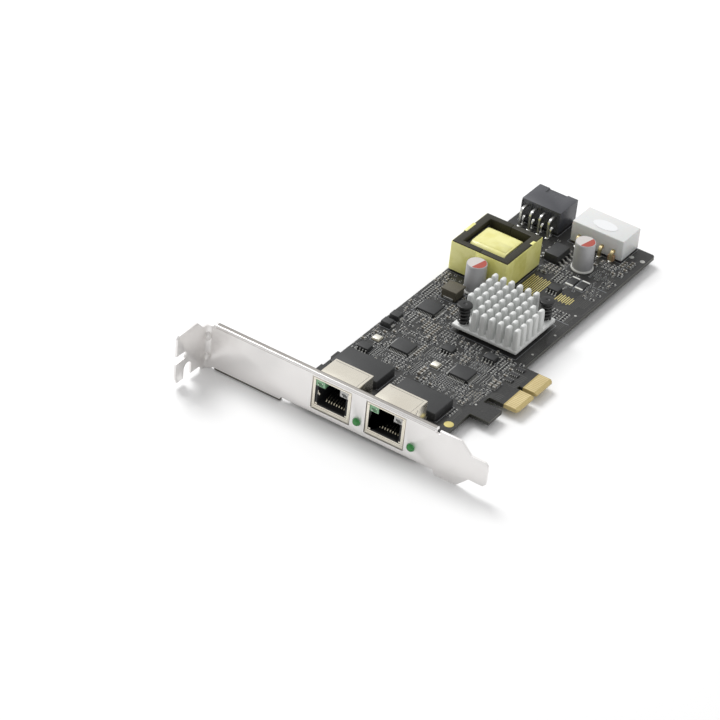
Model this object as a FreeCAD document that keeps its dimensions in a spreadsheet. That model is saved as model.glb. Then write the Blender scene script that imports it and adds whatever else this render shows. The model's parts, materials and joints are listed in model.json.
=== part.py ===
import FreeCAD, Part
import math
import os
import re
import Sketcher

# Network interface card: two shielded network jacks behind a full-height bracket, a switch chip
# under a pin-fin heat sink, and a power stage with a wrapped transformer and two power headers.
#
# Frame: the origin is the centre of the edge connector's key notch, at the connector's outer edge
# and half way through the board. +X points out of the edge connector, +Y runs from the bracket to
# the card's tail, and +Z points out of the component side.
#
# Two measures place nearly everything, as on a card drawing:
#   rise   height above the connector's outer edge, so X = -rise
#   reach  distance behind the bracket's front face, so Y = reach - bracket_to_key

doc = FreeCAD.newDocument("network_card")

SIZES = {
    # circuit board
    "board_thick": 1.57,
    "board_foot": 12.35,
    "board_front": 1.5,
    "tail_margin": 0.05,
    "bracket_to_key": 59.05,
    "corner_cut": 0.8,
    # edge connector
    "key_gap": 1.9,
    "key_depth": 7.65,
    "near_tongue": 11.2,
    "far_tongue": 11.2,
    "bevel_length": 1.3,
    "bevel_depth": 0.45,
    "contact_pitch": 1.0,
    "contact_width": 0.74,
    "contact_from_key": 1.5,
    "contact_length": 4.1,
    "contact_thick": 0.05,
    "contacts_each_side": 11,
    # board tab beside the connector, and the ear behind the first jack
    "tab_slit": 3.8,
    "tab_length": 9.0,
    "tab_drop": 7.95,
    "ear_out": 1.3,
    "ear_reach": 34.5,
    "ear_dent": 0.75,
    "dent_start": 24.0,
    "dent_length": 6.0,
    "guide_hole": 1.7,
    "guide_margin": 2.35,
    "guide_reach": 23.4,
    "guide_pad": 3.7,
    # bracket
    "sheet": 0.86,
    "bracket_length": 120.02,
    "bracket_width": 18.42,
    "bracket_above": 104.65,
    "board_lift": 1.49,
    "fold_radius": 1.9,
    "fold_low": 1.0,
    "fold_high": 0.8,
    "fold_land": 0.3,
    "ledge_length": 18.6,
    "ledge_top": 3.1,
    "ledge_bottom": 0.95,
    "ledge_shoulder": 6.9,
    "screw_slot": 4.42,
    "slot_from_face": 11.43,
    "slot_top": 7.0,
    "side_slot": 3.3,
    "side_slot_low": 9.6,
    "side_slot_depth": 6.0,
    "lip_start": 3.0,
    "lip_end": 98.2,
    "lip_depth": 2.1,
    "lip_relief": 1.6,
    "edge_radius": 0.8,
    "flange_start": 33.4,
    "flange_end": 98.6,
    "foot_drop": 0.65,
    "taper_start": 108.5,
    "taper_run": 4.5,
    "tip_low": 3.9,
    "tip_high": 14.0,
    "tip_cut": 1.2,
    "screw_tab": 6.0,
    "screw_tab_depth": 12.0,
    "screw_reach": 8.4,
    "screw_far_margin": 4.25,
    "screw_near_margin": 3.4,
    "screw_shank": 2.5,
    "screw_head": 5.0,
    "screw_head_high": 1.2,
    # network jacks
    "jack_margin": 6.66,
    "jack_apart": 6.7,
    "jack_front": 0.15,
    "jack_width": 16.1,
    "jack_high": 13.35,
    "jack_depth": 14.1,
    "jack_skin": 0.3,
    "jack_gap": 0.3,
    "window_width": 13.9,
    "window_low": 1.9,
    "window_high": 10.8,
    "plug_width": 11.9,
    "plug_low": 2.3,
    "plug_high": 7.4,
    "plug_depth": 12.4,
    "latch_width": 6.2,
    "latch_high": 2.6,
    "jack_led_width": 3.7,
    "jack_led_high": 2.3,
    "jack_led_depth": 5.0,
    "wire_pitch": 1.02,
    "wire_width": 0.45,
    "wire_thick": 0.35,
    "wire_start": 3.0,
    "wire_climb": 3.2,
    "wires_each_jack": 8,
    "pin_below": 1.3,
    # panel lamps
    "lamp_gap": 3.25,
    "lamp_high": 2.8,
    "lamp_width": 3.0,
    "lamp_block": 3.9,
    "lamp_block_depth": 4.2,
    "lamp_proud": 1.1,
    "lamp_round": 0.7,
    # network magnetics
    "magnet_margin": 7.0,
    "magnets_apart": 6.0,
    "magnet_1_gap": 9.45,
    "magnet_2_gap": 7.15,
    "magnet_length": 20.5,
    "magnet_depth": 12.4,
    "magnet_high": 3.3,
    "magnet_lead_pitch": 1.27,
    "magnet_leads": 12,
    # heat sink and the chip below it
    "sink_margin": 5.2,
    "sink_gap": 17.45,
    "sink_side": 28.0,
    "sink_base": 1.6,
    "sink_high": 10.0,
    "fin_thick": 1.0,
    "fin_columns": 8,
    "fin_rows": 7,
    "fin_length": 2.6,
    "pin_inset_x": 3.1,
    "pin_inset_y": 2.7,
    "pin_shank": 2.4,
    "pin_hole_gap": 0.2,
    "pin_head": 6.0,
    "pin_head_high": 1.3,
    "pin_top": 11.7,
    "spring_wire": 0.7,
    "spring_turns": 4,
    "spring_steps": 9,
    "spring_sides": 5,
    "spring_wide": 3.9,
    "switch_side": 19.0,
    "switch_high": 1.4,
    "pad_side": 18.0,
    "pad_thick": 0.2,
    # wrapped transformer
    "core_margin": 0.25,
    "core_gap": 4.9,
    "core_length": 24.5,
    "core_width": 25.0,
    "core_low": 1.7,
    "core_high": 13.35,
    "core_back": 3.2,
    "core_leg": 2.7,
    "core_middle": 8.0,
    "core_window_low": 3.0,
    "tape_thick": 0.35,
    "tape_low": 0.7,
    "tape_drop": 0.35,
    "winding_wide": 16.2,
    "winding_high": 12.2,
    "winding_round": 3.6,
    "bobbin_wall": 0.8,
    "bobbin_play": 0.25,
    "bobbin_lift": 0.4,
    "core_pin": 0.8,
    "core_pin_pitch": 3.8,
    "core_pins": 5,
    # electrolytic capacitors
    "can_width": 8.0,
    "can_high": 12.2,
    "can_seat": 0.8,
    "can_edge": 0.35,
    "can_1_side_gap": 3.7,
    "can_1_gap": 0.9,
    "can_2_margin": 13.3,
    "can_2_gap": 5.5,
    "can_lead": 0.6,
    "can_lead_pitch": 3.5,
    # power choke
    "choke_side_gap": 8.1,
    "choke_gap": 1.7,
    "choke_length": 6.8,
    "choke_width": 6.6,
    "choke_high": 4.3,
    "choke_cap": 0.9,
    "choke_overhang": 0.3,
    # black power header
    "black_gap": 8.2,
    "black_margin": 2.65,
    "black_width": 17.4,
    "black_depth": 13.3,
    "black_high": 10.0,
    "black_lift": 0.4,
    "black_pitch": 4.2,
    "black_row": 4.6,
    "black_cell": 3.5,
    "black_cell_depth": 10.5,
    "black_pin": 0.9,
    "pin_curve": 0.9,
    "black_notch": 8.0,
    "black_notch_depth": 3.6,
    "black_notch_down": 0.45,
    "black_columns": 4,
    "black_low_bend": 1.7,
    "black_high_bend": 3.9,
    "black_rib": 0.7,
    "black_slot": 2.6,
    "black_slot_high": 8.6,
    # white power header
    "white_margin": 7.7,
    "white_setback": 0.3,
    "header_gap": 5.3,
    "white_width": 23.0,
    "white_depth": 12.9,
    "white_high": 9.3,
    "white_lift": 0.3,
    "white_pitch": 5.08,
    "white_wall": 1.1,
    "white_socket_depth": 10.0,
    "white_corner": 2.2,
    "white_pins": 4,
    "white_pin": 1.2,
    "white_pin_high": 3.6,
    "white_bend": 1.5,
    "disc_long": 10.4,
    "disc_wide": 6.0,
    "disc_thick": 0.12,
    # flat chips with leads on four sides
    "flat_length": 8.0,
    "flat_width": 7.3,
    "flat_high": 1.4,
    "flat_lift": 0.15,
    "flat_lead_pitch": 0.85,
    "flat_lead_out": 0.9,
    "flat_leads": 8,
    "lead_thick": 0.2,
    "flat_1_aside": 3.55,
    "flat_1_gap": 12.15,
    "flat_2_aside": 2.55,
    "flat_2_gap": 14.65,
    "flat_3_aside": 6.1,
    "flat_3_gap": 6.05,
    # small-outline chips with leads on two sides
    "small_length": 4.9,
    "small_width": 3.9,
    "small_high": 1.5,
    "small_lead_pitch": 1.27,
    "small_lead_out": 1.05,
    "small_leads": 4,
    # isolator
    "iso_side_gap": 2.1,
    "iso_gap": 4.9,
    "iso_length": 9.4,
    "iso_width": 6.4,
    "iso_high": 3.4,
    "iso_lead_pitch": 2.54,
    "iso_lead_out": 2.1,
    "iso_leads": 4,
    # diodes, crystals, sense resistors
    "diode_length": 4.2,
    "diode_width": 3.7,
    "diode_high": 2.1,
    "crystal_side": 3.2,
    "crystal_high": 1.0,
    "sense_length": 6.3,
    "sense_width": 3.2,
    "sense_high": 0.6,
    "sense_cap": 0.8,
    "strip_width": 0.38,
    "strip_pitch": 0.85,
    "strip_thick": 0.08,
    "strip_stagger": 0.7,
    "strips_1_length": 13.2,
    "strips_1_count": 10,
    "strips_2_length": 5.6,
    "strips_2_count": 8,
}

# Places that follow from the sizes: each part stands off its neighbour, so the board grows with them.
PLACES = {
    "jack_rise": "board_foot + jack_margin + jack_width/2",
    "jack_pitch": "jack_width + jack_apart",
    "jack_end": "jack_front + jack_depth",
    "lamp_offset": "jack_width/2 + lamp_gap",
    "magnet_2_rise": "board_foot + magnet_margin + magnet_length/2",
    "magnet_1_rise": "magnet_2_rise + magnet_length + magnets_apart",
    "magnet_1_reach": "jack_end + magnet_1_gap + magnet_depth/2",
    "magnet_2_reach": "jack_end + magnet_2_gap + magnet_depth/2",
    "flat_1_rise": "magnet_1_rise - flat_1_aside",
    "flat_1_reach": "magnet_1_reach + magnet_depth/2 + flat_1_gap + flat_width/2",
    "flat_2_rise": "magnet_2_rise - flat_2_aside",
    "flat_2_reach": "magnet_2_reach + magnet_depth/2 + flat_2_gap + flat_width/2",
    "sink_rise": "board_foot + sink_margin + sink_side/2",
    "sink_edge": "sink_rise + sink_side/2",
    "sink_reach": "flat_2_reach + flat_width/2 + sink_gap + sink_side/2",
    "core_front": "sink_reach + sink_side/2 + core_gap",
    "core_end": "core_front + core_width + 2*tape_thick",
    "core_edge": "board_height - core_margin - core_length - 2*tape_thick",
    "core_rise": "core_edge + tape_thick + core_length/2",
    "core_reach": "core_front + tape_thick + core_width/2",
    "can_1_rise": "sink_edge + can_1_side_gap + can_width/2",
    "can_1_reach": "core_front - can_1_gap - can_width/2",
    "choke_rise": "sink_edge + choke_side_gap + choke_length/2",
    "choke_reach": "can_1_reach - can_width/2 - choke_gap - choke_width/2",
    "flat_3_rise": "flat_1_rise + flat_3_aside",
    "flat_3_reach": "choke_reach - choke_width/2 - flat_3_gap - flat_width/2",
    "can_2_rise": "board_foot + can_2_margin + can_width/2",
    "can_2_reach": "core_end + can_2_gap + can_width/2",
    "iso_rise": "can_2_rise + can_width/2 + iso_side_gap + iso_lead_out + iso_width/2",
    "iso_reach": "core_end + iso_gap + iso_length/2",
    "white_rise": "board_foot + white_margin + white_width/2",
    "white_reach": "black_reach + white_setback",
    "black_rise": "white_rise + white_width/2 + header_gap + black_width/2",
    "black_reach": "iso_reach + iso_length/2 + black_gap",
    "board_height": "black_rise + black_width/2 + black_margin",
    "board_tail": "black_reach + black_depth + tail_margin",
    "guide_rise": "board_foot + guide_margin",
    "screw_1_rise": "board_height - screw_far_margin",
    "screw_2_rise": "board_foot + screw_near_margin",
}

# Small parts beside a larger one: its rise and how far above it, its reach and how far behind it.
SMALL_PARTS = {
    "small_chip_1": ("flat_2_rise", 12.0, "flat_2_reach", 9.3),
    "small_chip_2": ("flat_2_rise", -2.6, "flat_2_reach", 15.1),
    "small_chip_3": ("flat_1_rise", 10.8, "flat_1_reach", -9.4),
    "small_chip_4": ("core_edge", -13.2, "core_front", 15.1),
    "diode_1": ("flat_1_rise", 12.7, "flat_1_reach", 14.3),
    "diode_2": ("flat_1_rise", 12.7, "flat_1_reach", 8.5),
    "crystal_1": ("flat_1_rise", 10.5, "flat_1_reach", -1.5),
    "crystal_2": ("flat_2_rise", 10.5, "flat_2_reach", -1.7),
    "sense_1": ("core_edge", -15.6, "core_end", -1.2),
    "sense_2": ("core_edge", -19.9, "core_end", -1.2),
    "strips_1": ("core_edge", -1.55, "core_front", 6.4),
    "strips_2": ("core_edge", -16.15, "core_front", 9.7),
}
for part, (beside, above, front, behind) in SMALL_PARTS.items():
    SIZES[f"{part}_above"] = above
    SIZES[f"{part}_behind"] = behind
    PLACES[f"{part}_rise"] = f"{beside} + {part}_above"
    PLACES[f"{part}_reach"] = f"{front} + {part}_behind"

sheet = doc.addObject("Spreadsheet::Sheet", "Sizes")
for row, (alias, value) in enumerate(SIZES.items(), 1):
    sheet.set(f"A{row}", alias)
    sheet.set(f"B{row}", str(value))
    sheet.setAlias(f"B{row}", alias)
doc.recompute()

nodes = []
shared = {}
through_pins = []


# ---- helpers: expressions tied to the sheet ----

def tied(text):
    """An expression in which every word is a cell of the sheet, and a place is written out in cells."""
    def cell(word):
        name = word.group()
        return f"({tied(PLACES[name])})" if name in PLACES else f"Sizes.{name}"

    return re.sub(r"[a-z]\w*", cell, str(text))


def number(text):
    """The present value of an expression."""
    return float(sheet.evalExpression(tied(text)))


def tie(thing, **expressions):
    """Tie properties of an object to the sheet."""
    for name, text in expressions.items():
        thing.setExpression(name, tied(text))
    return thing


def place(thing, x="0", y="0", z="0", rotation=None):
    """Tie an object's place to the sheet, with a fixed turn if one is given."""
    if rotation:
        thing.Placement = FreeCAD.Placement(FreeCAD.Vector(), FreeCAD.Rotation(*rotation))
    for letter, text in (("x", x), ("y", y), ("z", z)):
        thing.setExpression("Placement.Base." + letter, tied(text))
    return thing


def at(thing, rise, reach, high="0", rotation=None):
    """Place an object by its rise, its reach and its height over the component side."""
    return place(thing, f"-({rise})", f"{reach} - bracket_to_key", f"board_thick/2 + {high}", rotation)


def copies(kind):
    """Rise and reach of every small part of one kind."""
    return [(f"{part}_rise", f"{part}_reach") for part in SMALL_PARTS if part.startswith(kind)]


def count_of(text):
    """A whole number of things, from the sheet."""
    return int(number(text))


def node(thing, name):
    """Register a finished sub-part under its own name."""
    thing.Label = name
    nodes.append(thing)
    return thing


# ---- helpers: primitives ----

def share(thing, name):
    """Add one of several alike small pieces to the node that they share."""
    shared.setdefault(name, []).append(thing)
    return thing


def block(x, y, z, length, width, height):
    """A box with its lowest corner at x, y, z."""
    box = doc.addObject("Part::Box", "block")
    tie(box, Length=length, Width=width, Height=height)
    return place(box, x, y, z)


def centred_block(x, y, z, length, width, height):
    """A box centred on x and y, standing on z."""
    return block(f"{x} - ({length})/2", f"{y} - ({width})/2", z, length, width, height)


def rod(x, y, z, width, length, rotation=None):
    """A round rod, standing up unless it is turned."""
    cylinder = doc.addObject("Part::Cylinder", "rod")
    tie(cylinder, Radius=f"({width})/2", Height=length)
    return place(cylinder, x, y, z, rotation)


def group(things):
    """Separate solids kept together in one object."""
    compound = doc.addObject("Part::Compound", "group")
    compound.Links = things
    return compound


def fuse(things):
    """Several solids made one."""
    union = doc.addObject("Part::MultiFuse", "union")
    union.Shapes = things
    union.Refine = True
    return union


def cut(base, tool):
    """A solid less another."""
    rest = doc.addObject("Part::Cut", "rest")
    rest.Base = base
    rest.Tool = tool
    return rest


# ---- helpers: PartDesign bodies ----

def new_body(name):
    return doc.addObject("PartDesign::Body", name)


def new_sketch(body, role, offset="0"):
    """A sketch on one of the body's own origin planes, moved along the plane's normal."""
    sketch = body.newObject("Sketcher::SketchObject", body.Name + "_sketch")
    plane = [feature for feature in body.Origin.OriginFeatures if feature.Role == role][0]
    sketch.AttachmentSupport = (plane, [""])
    sketch.MapMode = "FlatFace"
    sketch.setExpression("AttachmentOffset.Base.z", tied(offset))
    return sketch


def fix_point(sketch, edge, point, across, up):
    """Tie one point of a sketch to the sheet, measured from the sketch's origin."""
    for kind, text in (("DistanceX", across), ("DistanceY", up)):
        index = sketch.addConstraint(Sketcher.Constraint(kind, -1, 1, edge, point, number(text)))
        sketch.setExpression(f"Constraints[{index}]", tied(text))


def outline(sketch, points):
    """A closed outline of straight lines through tied points."""
    first = sketch.GeometryCount
    places = [FreeCAD.Vector(number(across), number(up), 0) for across, up in points]
    count = len(places)
    for index in range(count):
        sketch.addGeometry(Part.LineSegment(places[index], places[(index + 1) % count]))
    for index in range(count):
        following = (index + 1) % count
        sketch.addConstraint(
            Sketcher.Constraint("Coincident", first + index, 2, first + following, 1))
    for index, (across, up) in enumerate(points):
        fix_point(sketch, first + index, 1, across, up)
    return sketch


def rectangle(sketch, left, low, width, high):
    """A closed rectangle from its lowest corner."""
    right = f"{left} + {width}"
    top = f"{low} + {high}"
    return outline(sketch, [(left, low), (right, low), (right, top), (left, top)])


def circle(sketch, across, up, width):
    """A circle of tied centre and diameter."""
    centre = FreeCAD.Vector(number(across), number(up), 0)
    edge = sketch.addGeometry(Part.Circle(centre, FreeCAD.Vector(0, 0, 1), number(width) / 2))
    fix_point(sketch, edge, 3, across, up)
    index = sketch.addConstraint(Sketcher.Constraint("Diameter", edge, number(width)))
    sketch.setExpression(f"Constraints[{index}]", tied(width))
    return sketch


def pad(body, sketch, length, reverse=False, middle=False, taper=None):
    """Raise a sketch along its normal, against it, or to both sides."""
    raised = body.newObject("PartDesign::Pad", body.Name + "_pad")
    raised.Profile = sketch
    raised.Reversed = reverse
    if middle:
        raised.SideType = "Symmetric"
    tie(raised, Length=length)
    if taper:
        tie(raised, TaperAngle=taper)
    return raised


def pocket(body, sketch, depth=None, reverse=False):
    """Cut a sketch into the body: through it both ways, or to a depth."""
    sunk = body.newObject("PartDesign::Pocket", body.Name + "_pocket")
    sunk.Profile = sketch
    sunk.Reversed = reverse
    if depth:
        tie(sunk, Length=depth)
    else:
        sunk.Type = "ThroughAll"
        sunk.SideType = "Symmetric"
    return sunk


def edges_where(feature, test):
    """Names of the straight edges whose two ends pass a test."""
    doc.recompute()
    names = []
    for index, edge in enumerate(feature.Shape.Edges, 1):
        if len(edge.Vertexes) == 2 and test(edge.Vertexes[0].Point, edge.Vertexes[1].Point):
            names.append(f"Edge{index}")
    return names


def round_edges(body, feature, names, radius, kind="PartDesign::Fillet"):
    """Round or chamfer named edges of a feature."""
    rounded = body.newObject(kind, body.Name + "_edge")
    rounded.Base = (feature, names)
    if kind == "PartDesign::Fillet":
        tie(rounded, Radius=radius)
    else:
        tie(rounded, Size=radius)
    return rounded


def near(value, text):
    """Whether a coordinate is the value of an expression."""
    return abs(value - number(text)) < 1e-4


def moulded(name, length, width, height, taper="3"):
    """A moulded block with drafted sides, centred on its origin and standing on it."""
    body = new_body(name)
    face = new_sketch(body, "XY_Plane")
    rectangle(face, f"-({length})/2", f"-({width})/2", length, width)
    pad(body, face, height, taper=f"-{taper}")
    return body


def grow(body, name, count, pitch, axis, features):
    """Repeat features of a body along one of its own axes."""
    row = body.newObject("PartDesign::LinearPattern", name)
    row.Originals = features
    line = [feature for feature in body.Origin.OriginFeatures if feature.Role == axis][0]
    row.Direction = (line, [""])
    row.Mode = "Spacing"
    tie(row, Offset=pitch, Occurrences=count)
    body.Tip = row
    return row


# ---- bracket ----

def jack_centre(index):
    """Rise of a jack's middle: the second jack is the one nearer the connector."""
    return "(jack_rise + jack_pitch)" if index == 1 else "jack_rise"


def bracket():
    """Folded sheet: face plate, screw ledge, stiffening lip and the flange below the board.

    The body's own frame: x along the bracket from the ledge to the tip, y from the front face
    inwards, z across the bracket from its solder-side edge."""
    body = new_body("bracket")
    low = "-fold_low"
    high = "bracket_width - fold_high"
    fold_end = "sheet + fold_radius + fold_land"
    flange_low = "board_lift - sheet"
    board_top = "board_lift + board_thick"

    face = new_sketch(body, "XZ_Plane")
    outline(face, [
        ("0", low),
        (fold_end, low),
        (f"{fold_end} + fold_low", "0"),
        ("flange_start", "0"),
        ("flange_start", flange_low),
        ("flange_end", flange_low),
        ("flange_end + foot_drop", "-foot_drop"),
        ("taper_start", "-foot_drop"),
        ("taper_start + taper_run", "tip_low"),
        ("bracket_length - tip_cut", "tip_low"),
        ("bracket_length", "tip_low + tip_cut"),
        ("bracket_length", "tip_high - tip_cut"),
        ("bracket_length - tip_cut", "tip_high"),
        ("taper_start + taper_run", "tip_high"),
        ("taper_start", "bracket_width"),
        ("lip_end + lip_relief", "bracket_width"),
        ("lip_end + lip_relief", "bracket_width - lip_relief"),
        ("lip_end", "bracket_width - lip_relief"),
        ("lip_end", "bracket_width"),
        (f"{fold_end} + fold_land", "bracket_width"),
        (fold_end, high),
        ("0", high),
    ])
    pad(body, face, "sheet", reverse=True)

    ledge = new_sketch(body, "YZ_Plane")
    ledge_high = "bracket_width + ledge_top"
    outline(ledge, [
        ("sheet", low),
        ("-fold_radius - fold_land", low),
        ("-fold_radius - fold_land - ledge_bottom - fold_low", "ledge_bottom"),
        ("-ledge_length + tip_cut", "ledge_bottom"),
        ("-ledge_length", "ledge_bottom + 2*tip_cut"),
        ("-ledge_length", f"{ledge_high} - tip_cut"),
        ("-ledge_length + tip_cut", ledge_high),
        ("-ledge_shoulder", ledge_high),
        ("-ledge_shoulder + ledge_top + fold_high", high),
        ("sheet", high),
    ])
    shell = pad(body, ledge, "sheet")

    inner = edges_where(shell, lambda a, b: all(near(p.x, "sheet") and near(p.y, "0") for p in (a, b)))
    shell = round_edges(body, shell, inner, "fold_radius")
    outer = edges_where(shell, lambda a, b: all(near(p.x, "0") and near(p.y, "sheet") for p in (a, b)))
    shell = round_edges(body, shell, outer, "fold_radius + sheet")

    lip = new_sketch(body, "YZ_Plane", "lip_start + fold_land")
    rectangle(lip, "0", "bracket_width - sheet", "lip_depth", "sheet")
    shell = pad(body, lip, "lip_end - lip_start - fold_land")
    flange = new_sketch(body, "YZ_Plane", "flange_start")
    rectangle(flange, "0", flange_low, "lip_depth", "sheet")
    shell = pad(body, flange, "flange_end - flange_start")

    def on_long_edge(height):
        return lambda a, b: abs(a.x - b.x) > number("lip_end")/2 and all(
            near(p.y, "0") and near(p.z, height) for p in (a, b))

    for height in ("bracket_width", flange_low):
        names = edges_where(shell, on_long_edge(height))
        shell = round_edges(body, shell, names, "edge_radius")

    for rise in ("screw_1_rise", "screw_2_rise"):
        ear = new_sketch(body, "YZ_Plane", f"bracket_above - {rise} - screw_tab/2")
        rectangle(ear, "lip_depth/2", flange_low, "screw_tab_depth - lip_depth/2", "sheet")
        pad(body, ear, "screw_tab")

    for index in (1, 2):
        middle = f"bracket_above - {jack_centre(index)}"
        port = new_sketch(body, "XZ_Plane")
        rectangle(port, f"{middle} - jack_width/2 - jack_gap", f"{board_top} - jack_gap",
                  "(jack_width + 2*jack_gap)", "jack_high + 2*jack_gap")
        pocket(body, port)
        lamp = new_sketch(body, "XZ_Plane")
        circle(lamp, f"{middle} + lamp_offset", f"{board_top} + lamp_high", "lamp_width + jack_gap")
        pocket(body, lamp)
    for rise in ("screw_1_rise", "screw_2_rise"):
        hole = new_sketch(body, "XY_Plane")
        circle(hole, f"bracket_above - {rise}", "screw_reach", "screw_shank")
        pocket(body, hole)

    slot = new_sketch(body, "YZ_Plane")
    rectangle(slot, "-slot_from_face - screw_slot/2", "-2*fold_low", "screw_slot",
              "slot_top - screw_slot/2 + 2*fold_low")
    pocket(body, slot)
    slot_end = new_sketch(body, "YZ_Plane")
    circle(slot_end, "-slot_from_face", "slot_top - screw_slot/2", "screw_slot")
    pocket(body, slot_end)
    notch = new_sketch(body, "YZ_Plane")
    rectangle(notch, "-ledge_length - tip_cut", "side_slot_low", "side_slot_depth + tip_cut - side_slot/2",
              "side_slot")
    pocket(body, notch)
    notch_end = new_sketch(body, "YZ_Plane")
    circle(notch_end, "-ledge_length + side_slot_depth - side_slot/2", "side_slot_low + side_slot/2",
           "side_slot")
    pocket(body, notch_end)
    place(body, "-bracket_above", "-bracket_to_key", "-board_thick/2 - board_lift")
    node(body, "bracket")


def bracket_screws():
    """Two screws that hold the bracket's tabs against the solder side."""
    screws = []
    for rise in ("screw_1_rise", "screw_2_rise"):
        under = "-board_thick/2 - sheet"
        x, y = f"-{rise}", "screw_reach - bracket_to_key"
        shank = rod(x, y, f"{under} - screw_head_high/2", "screw_shank",
                    "board_thick + sheet + screw_head_high/2 + screw_head_high/2")
        head = rod(x, y, f"{under} - screw_head_high", "screw_head", "screw_head_high")
        screws.append(fuse([shank, head]))
    through_pins.extend(screws)
    node(group(screws), "bracket_screws")


# ---- circuit board and edge connector ----

def board_blank():
    """The bare board: connector tongue with its key notch, locating tab and edge bevel."""
    body = new_body("board")
    foot = "-board_foot"
    top = "-board_height"
    front = "board_front - bracket_to_key"
    tail = "board_tail - bracket_to_key"
    near_end = "-key_gap/2 - near_tongue"
    far_end = "key_gap/2 + far_tongue"
    tab_end = f"{near_end} - tab_slit"
    tab_start = f"{tab_end} - tab_length"
    tab_edge = "-board_foot + tab_drop"
    ear = f"{top} - ear_out"
    dent_start = "dent_start - bracket_to_key"
    dent_end = "dent_start + dent_length - bracket_to_key"
    face = new_sketch(body, "XY_Plane")
    outline(face, [
        (foot, front),
        (foot, tab_start),
        (tab_edge, tab_start),
        (tab_edge, tab_end),
        (foot, tab_end),
        (foot, near_end),
        ("-corner_cut", near_end),
        ("0", f"{near_end} + corner_cut"),
        ("0", "-key_gap/2 - corner_cut/2"),
        ("-corner_cut/2", "-key_gap/2"),
        ("-key_depth", "-key_gap/2"),
        ("-key_depth", "key_gap/2"),
        ("-corner_cut/2", "key_gap/2"),
        ("0", "key_gap/2 + corner_cut/2"),
        ("0", f"{far_end} - corner_cut"),
        ("-corner_cut", far_end),
        (foot, far_end),
        (foot, f"{tail} - corner_cut"),
        (f"{foot} - corner_cut", tail),
        (f"{top} + corner_cut", tail),
        (top, f"{tail} - corner_cut"),
        (top, "ear_reach - bracket_to_key"),
        (ear, "ear_reach - bracket_to_key"),
        (ear, dent_end),
        (f"{ear} + ear_dent", dent_end),
        (f"{ear} + ear_dent", dent_start),
        (ear, dent_start),
        (ear, front),
    ])
    pad(body, face, "board_thick", middle=True)
    for side in ("", "-"):
        bevel = new_sketch(body, "XZ_Plane")
        outline(bevel, [
            ("-bevel_length", f"{side}(board_thick/2)"),
            ("corner_cut", f"{side}(board_thick/2 - bevel_depth - bevel_depth*corner_cut/bevel_length)"),
            ("corner_cut", f"{side}(board_thick/2)"),
        ])
        pocket(body, bevel)
    pin_hole = "pin_shank + 2*pin_hole_gap"
    for x, y in push_pin_places():
        hole = new_sketch(body, "XY_Plane")
        circle(hole, f"-sink_rise + {x}", f"sink_reach - bracket_to_key + {y}", pin_hole)
        pocket(body, hole)
    return body


def edge_contacts():
    """Thin plated fingers on both faces of the tongue, in two groups beside the key notch."""
    sides = []
    for first, direction in (("contact_from_key", ""), ("-contact_from_key", "-")):
        for low in ("board_thick/2", "-board_thick/2 - contact_thick"):
            body = new_body("fingers")
            finger = new_sketch(body, "XY_Plane", low)
            rectangle(finger, "-bevel_length - contact_length", f"{first} - contact_width/2",
                      "contact_length", "contact_width")
            raised = pad(body, finger, "contact_thick")
            row = grow(body, "fingers_row", "contacts_each_side", "contact_pitch", "Y_Axis", [raised])
            row.Reversed = bool(direction)
            sides.append(body)
    node(group(sides), "edge_contacts")


# ---- network jacks ----

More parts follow.
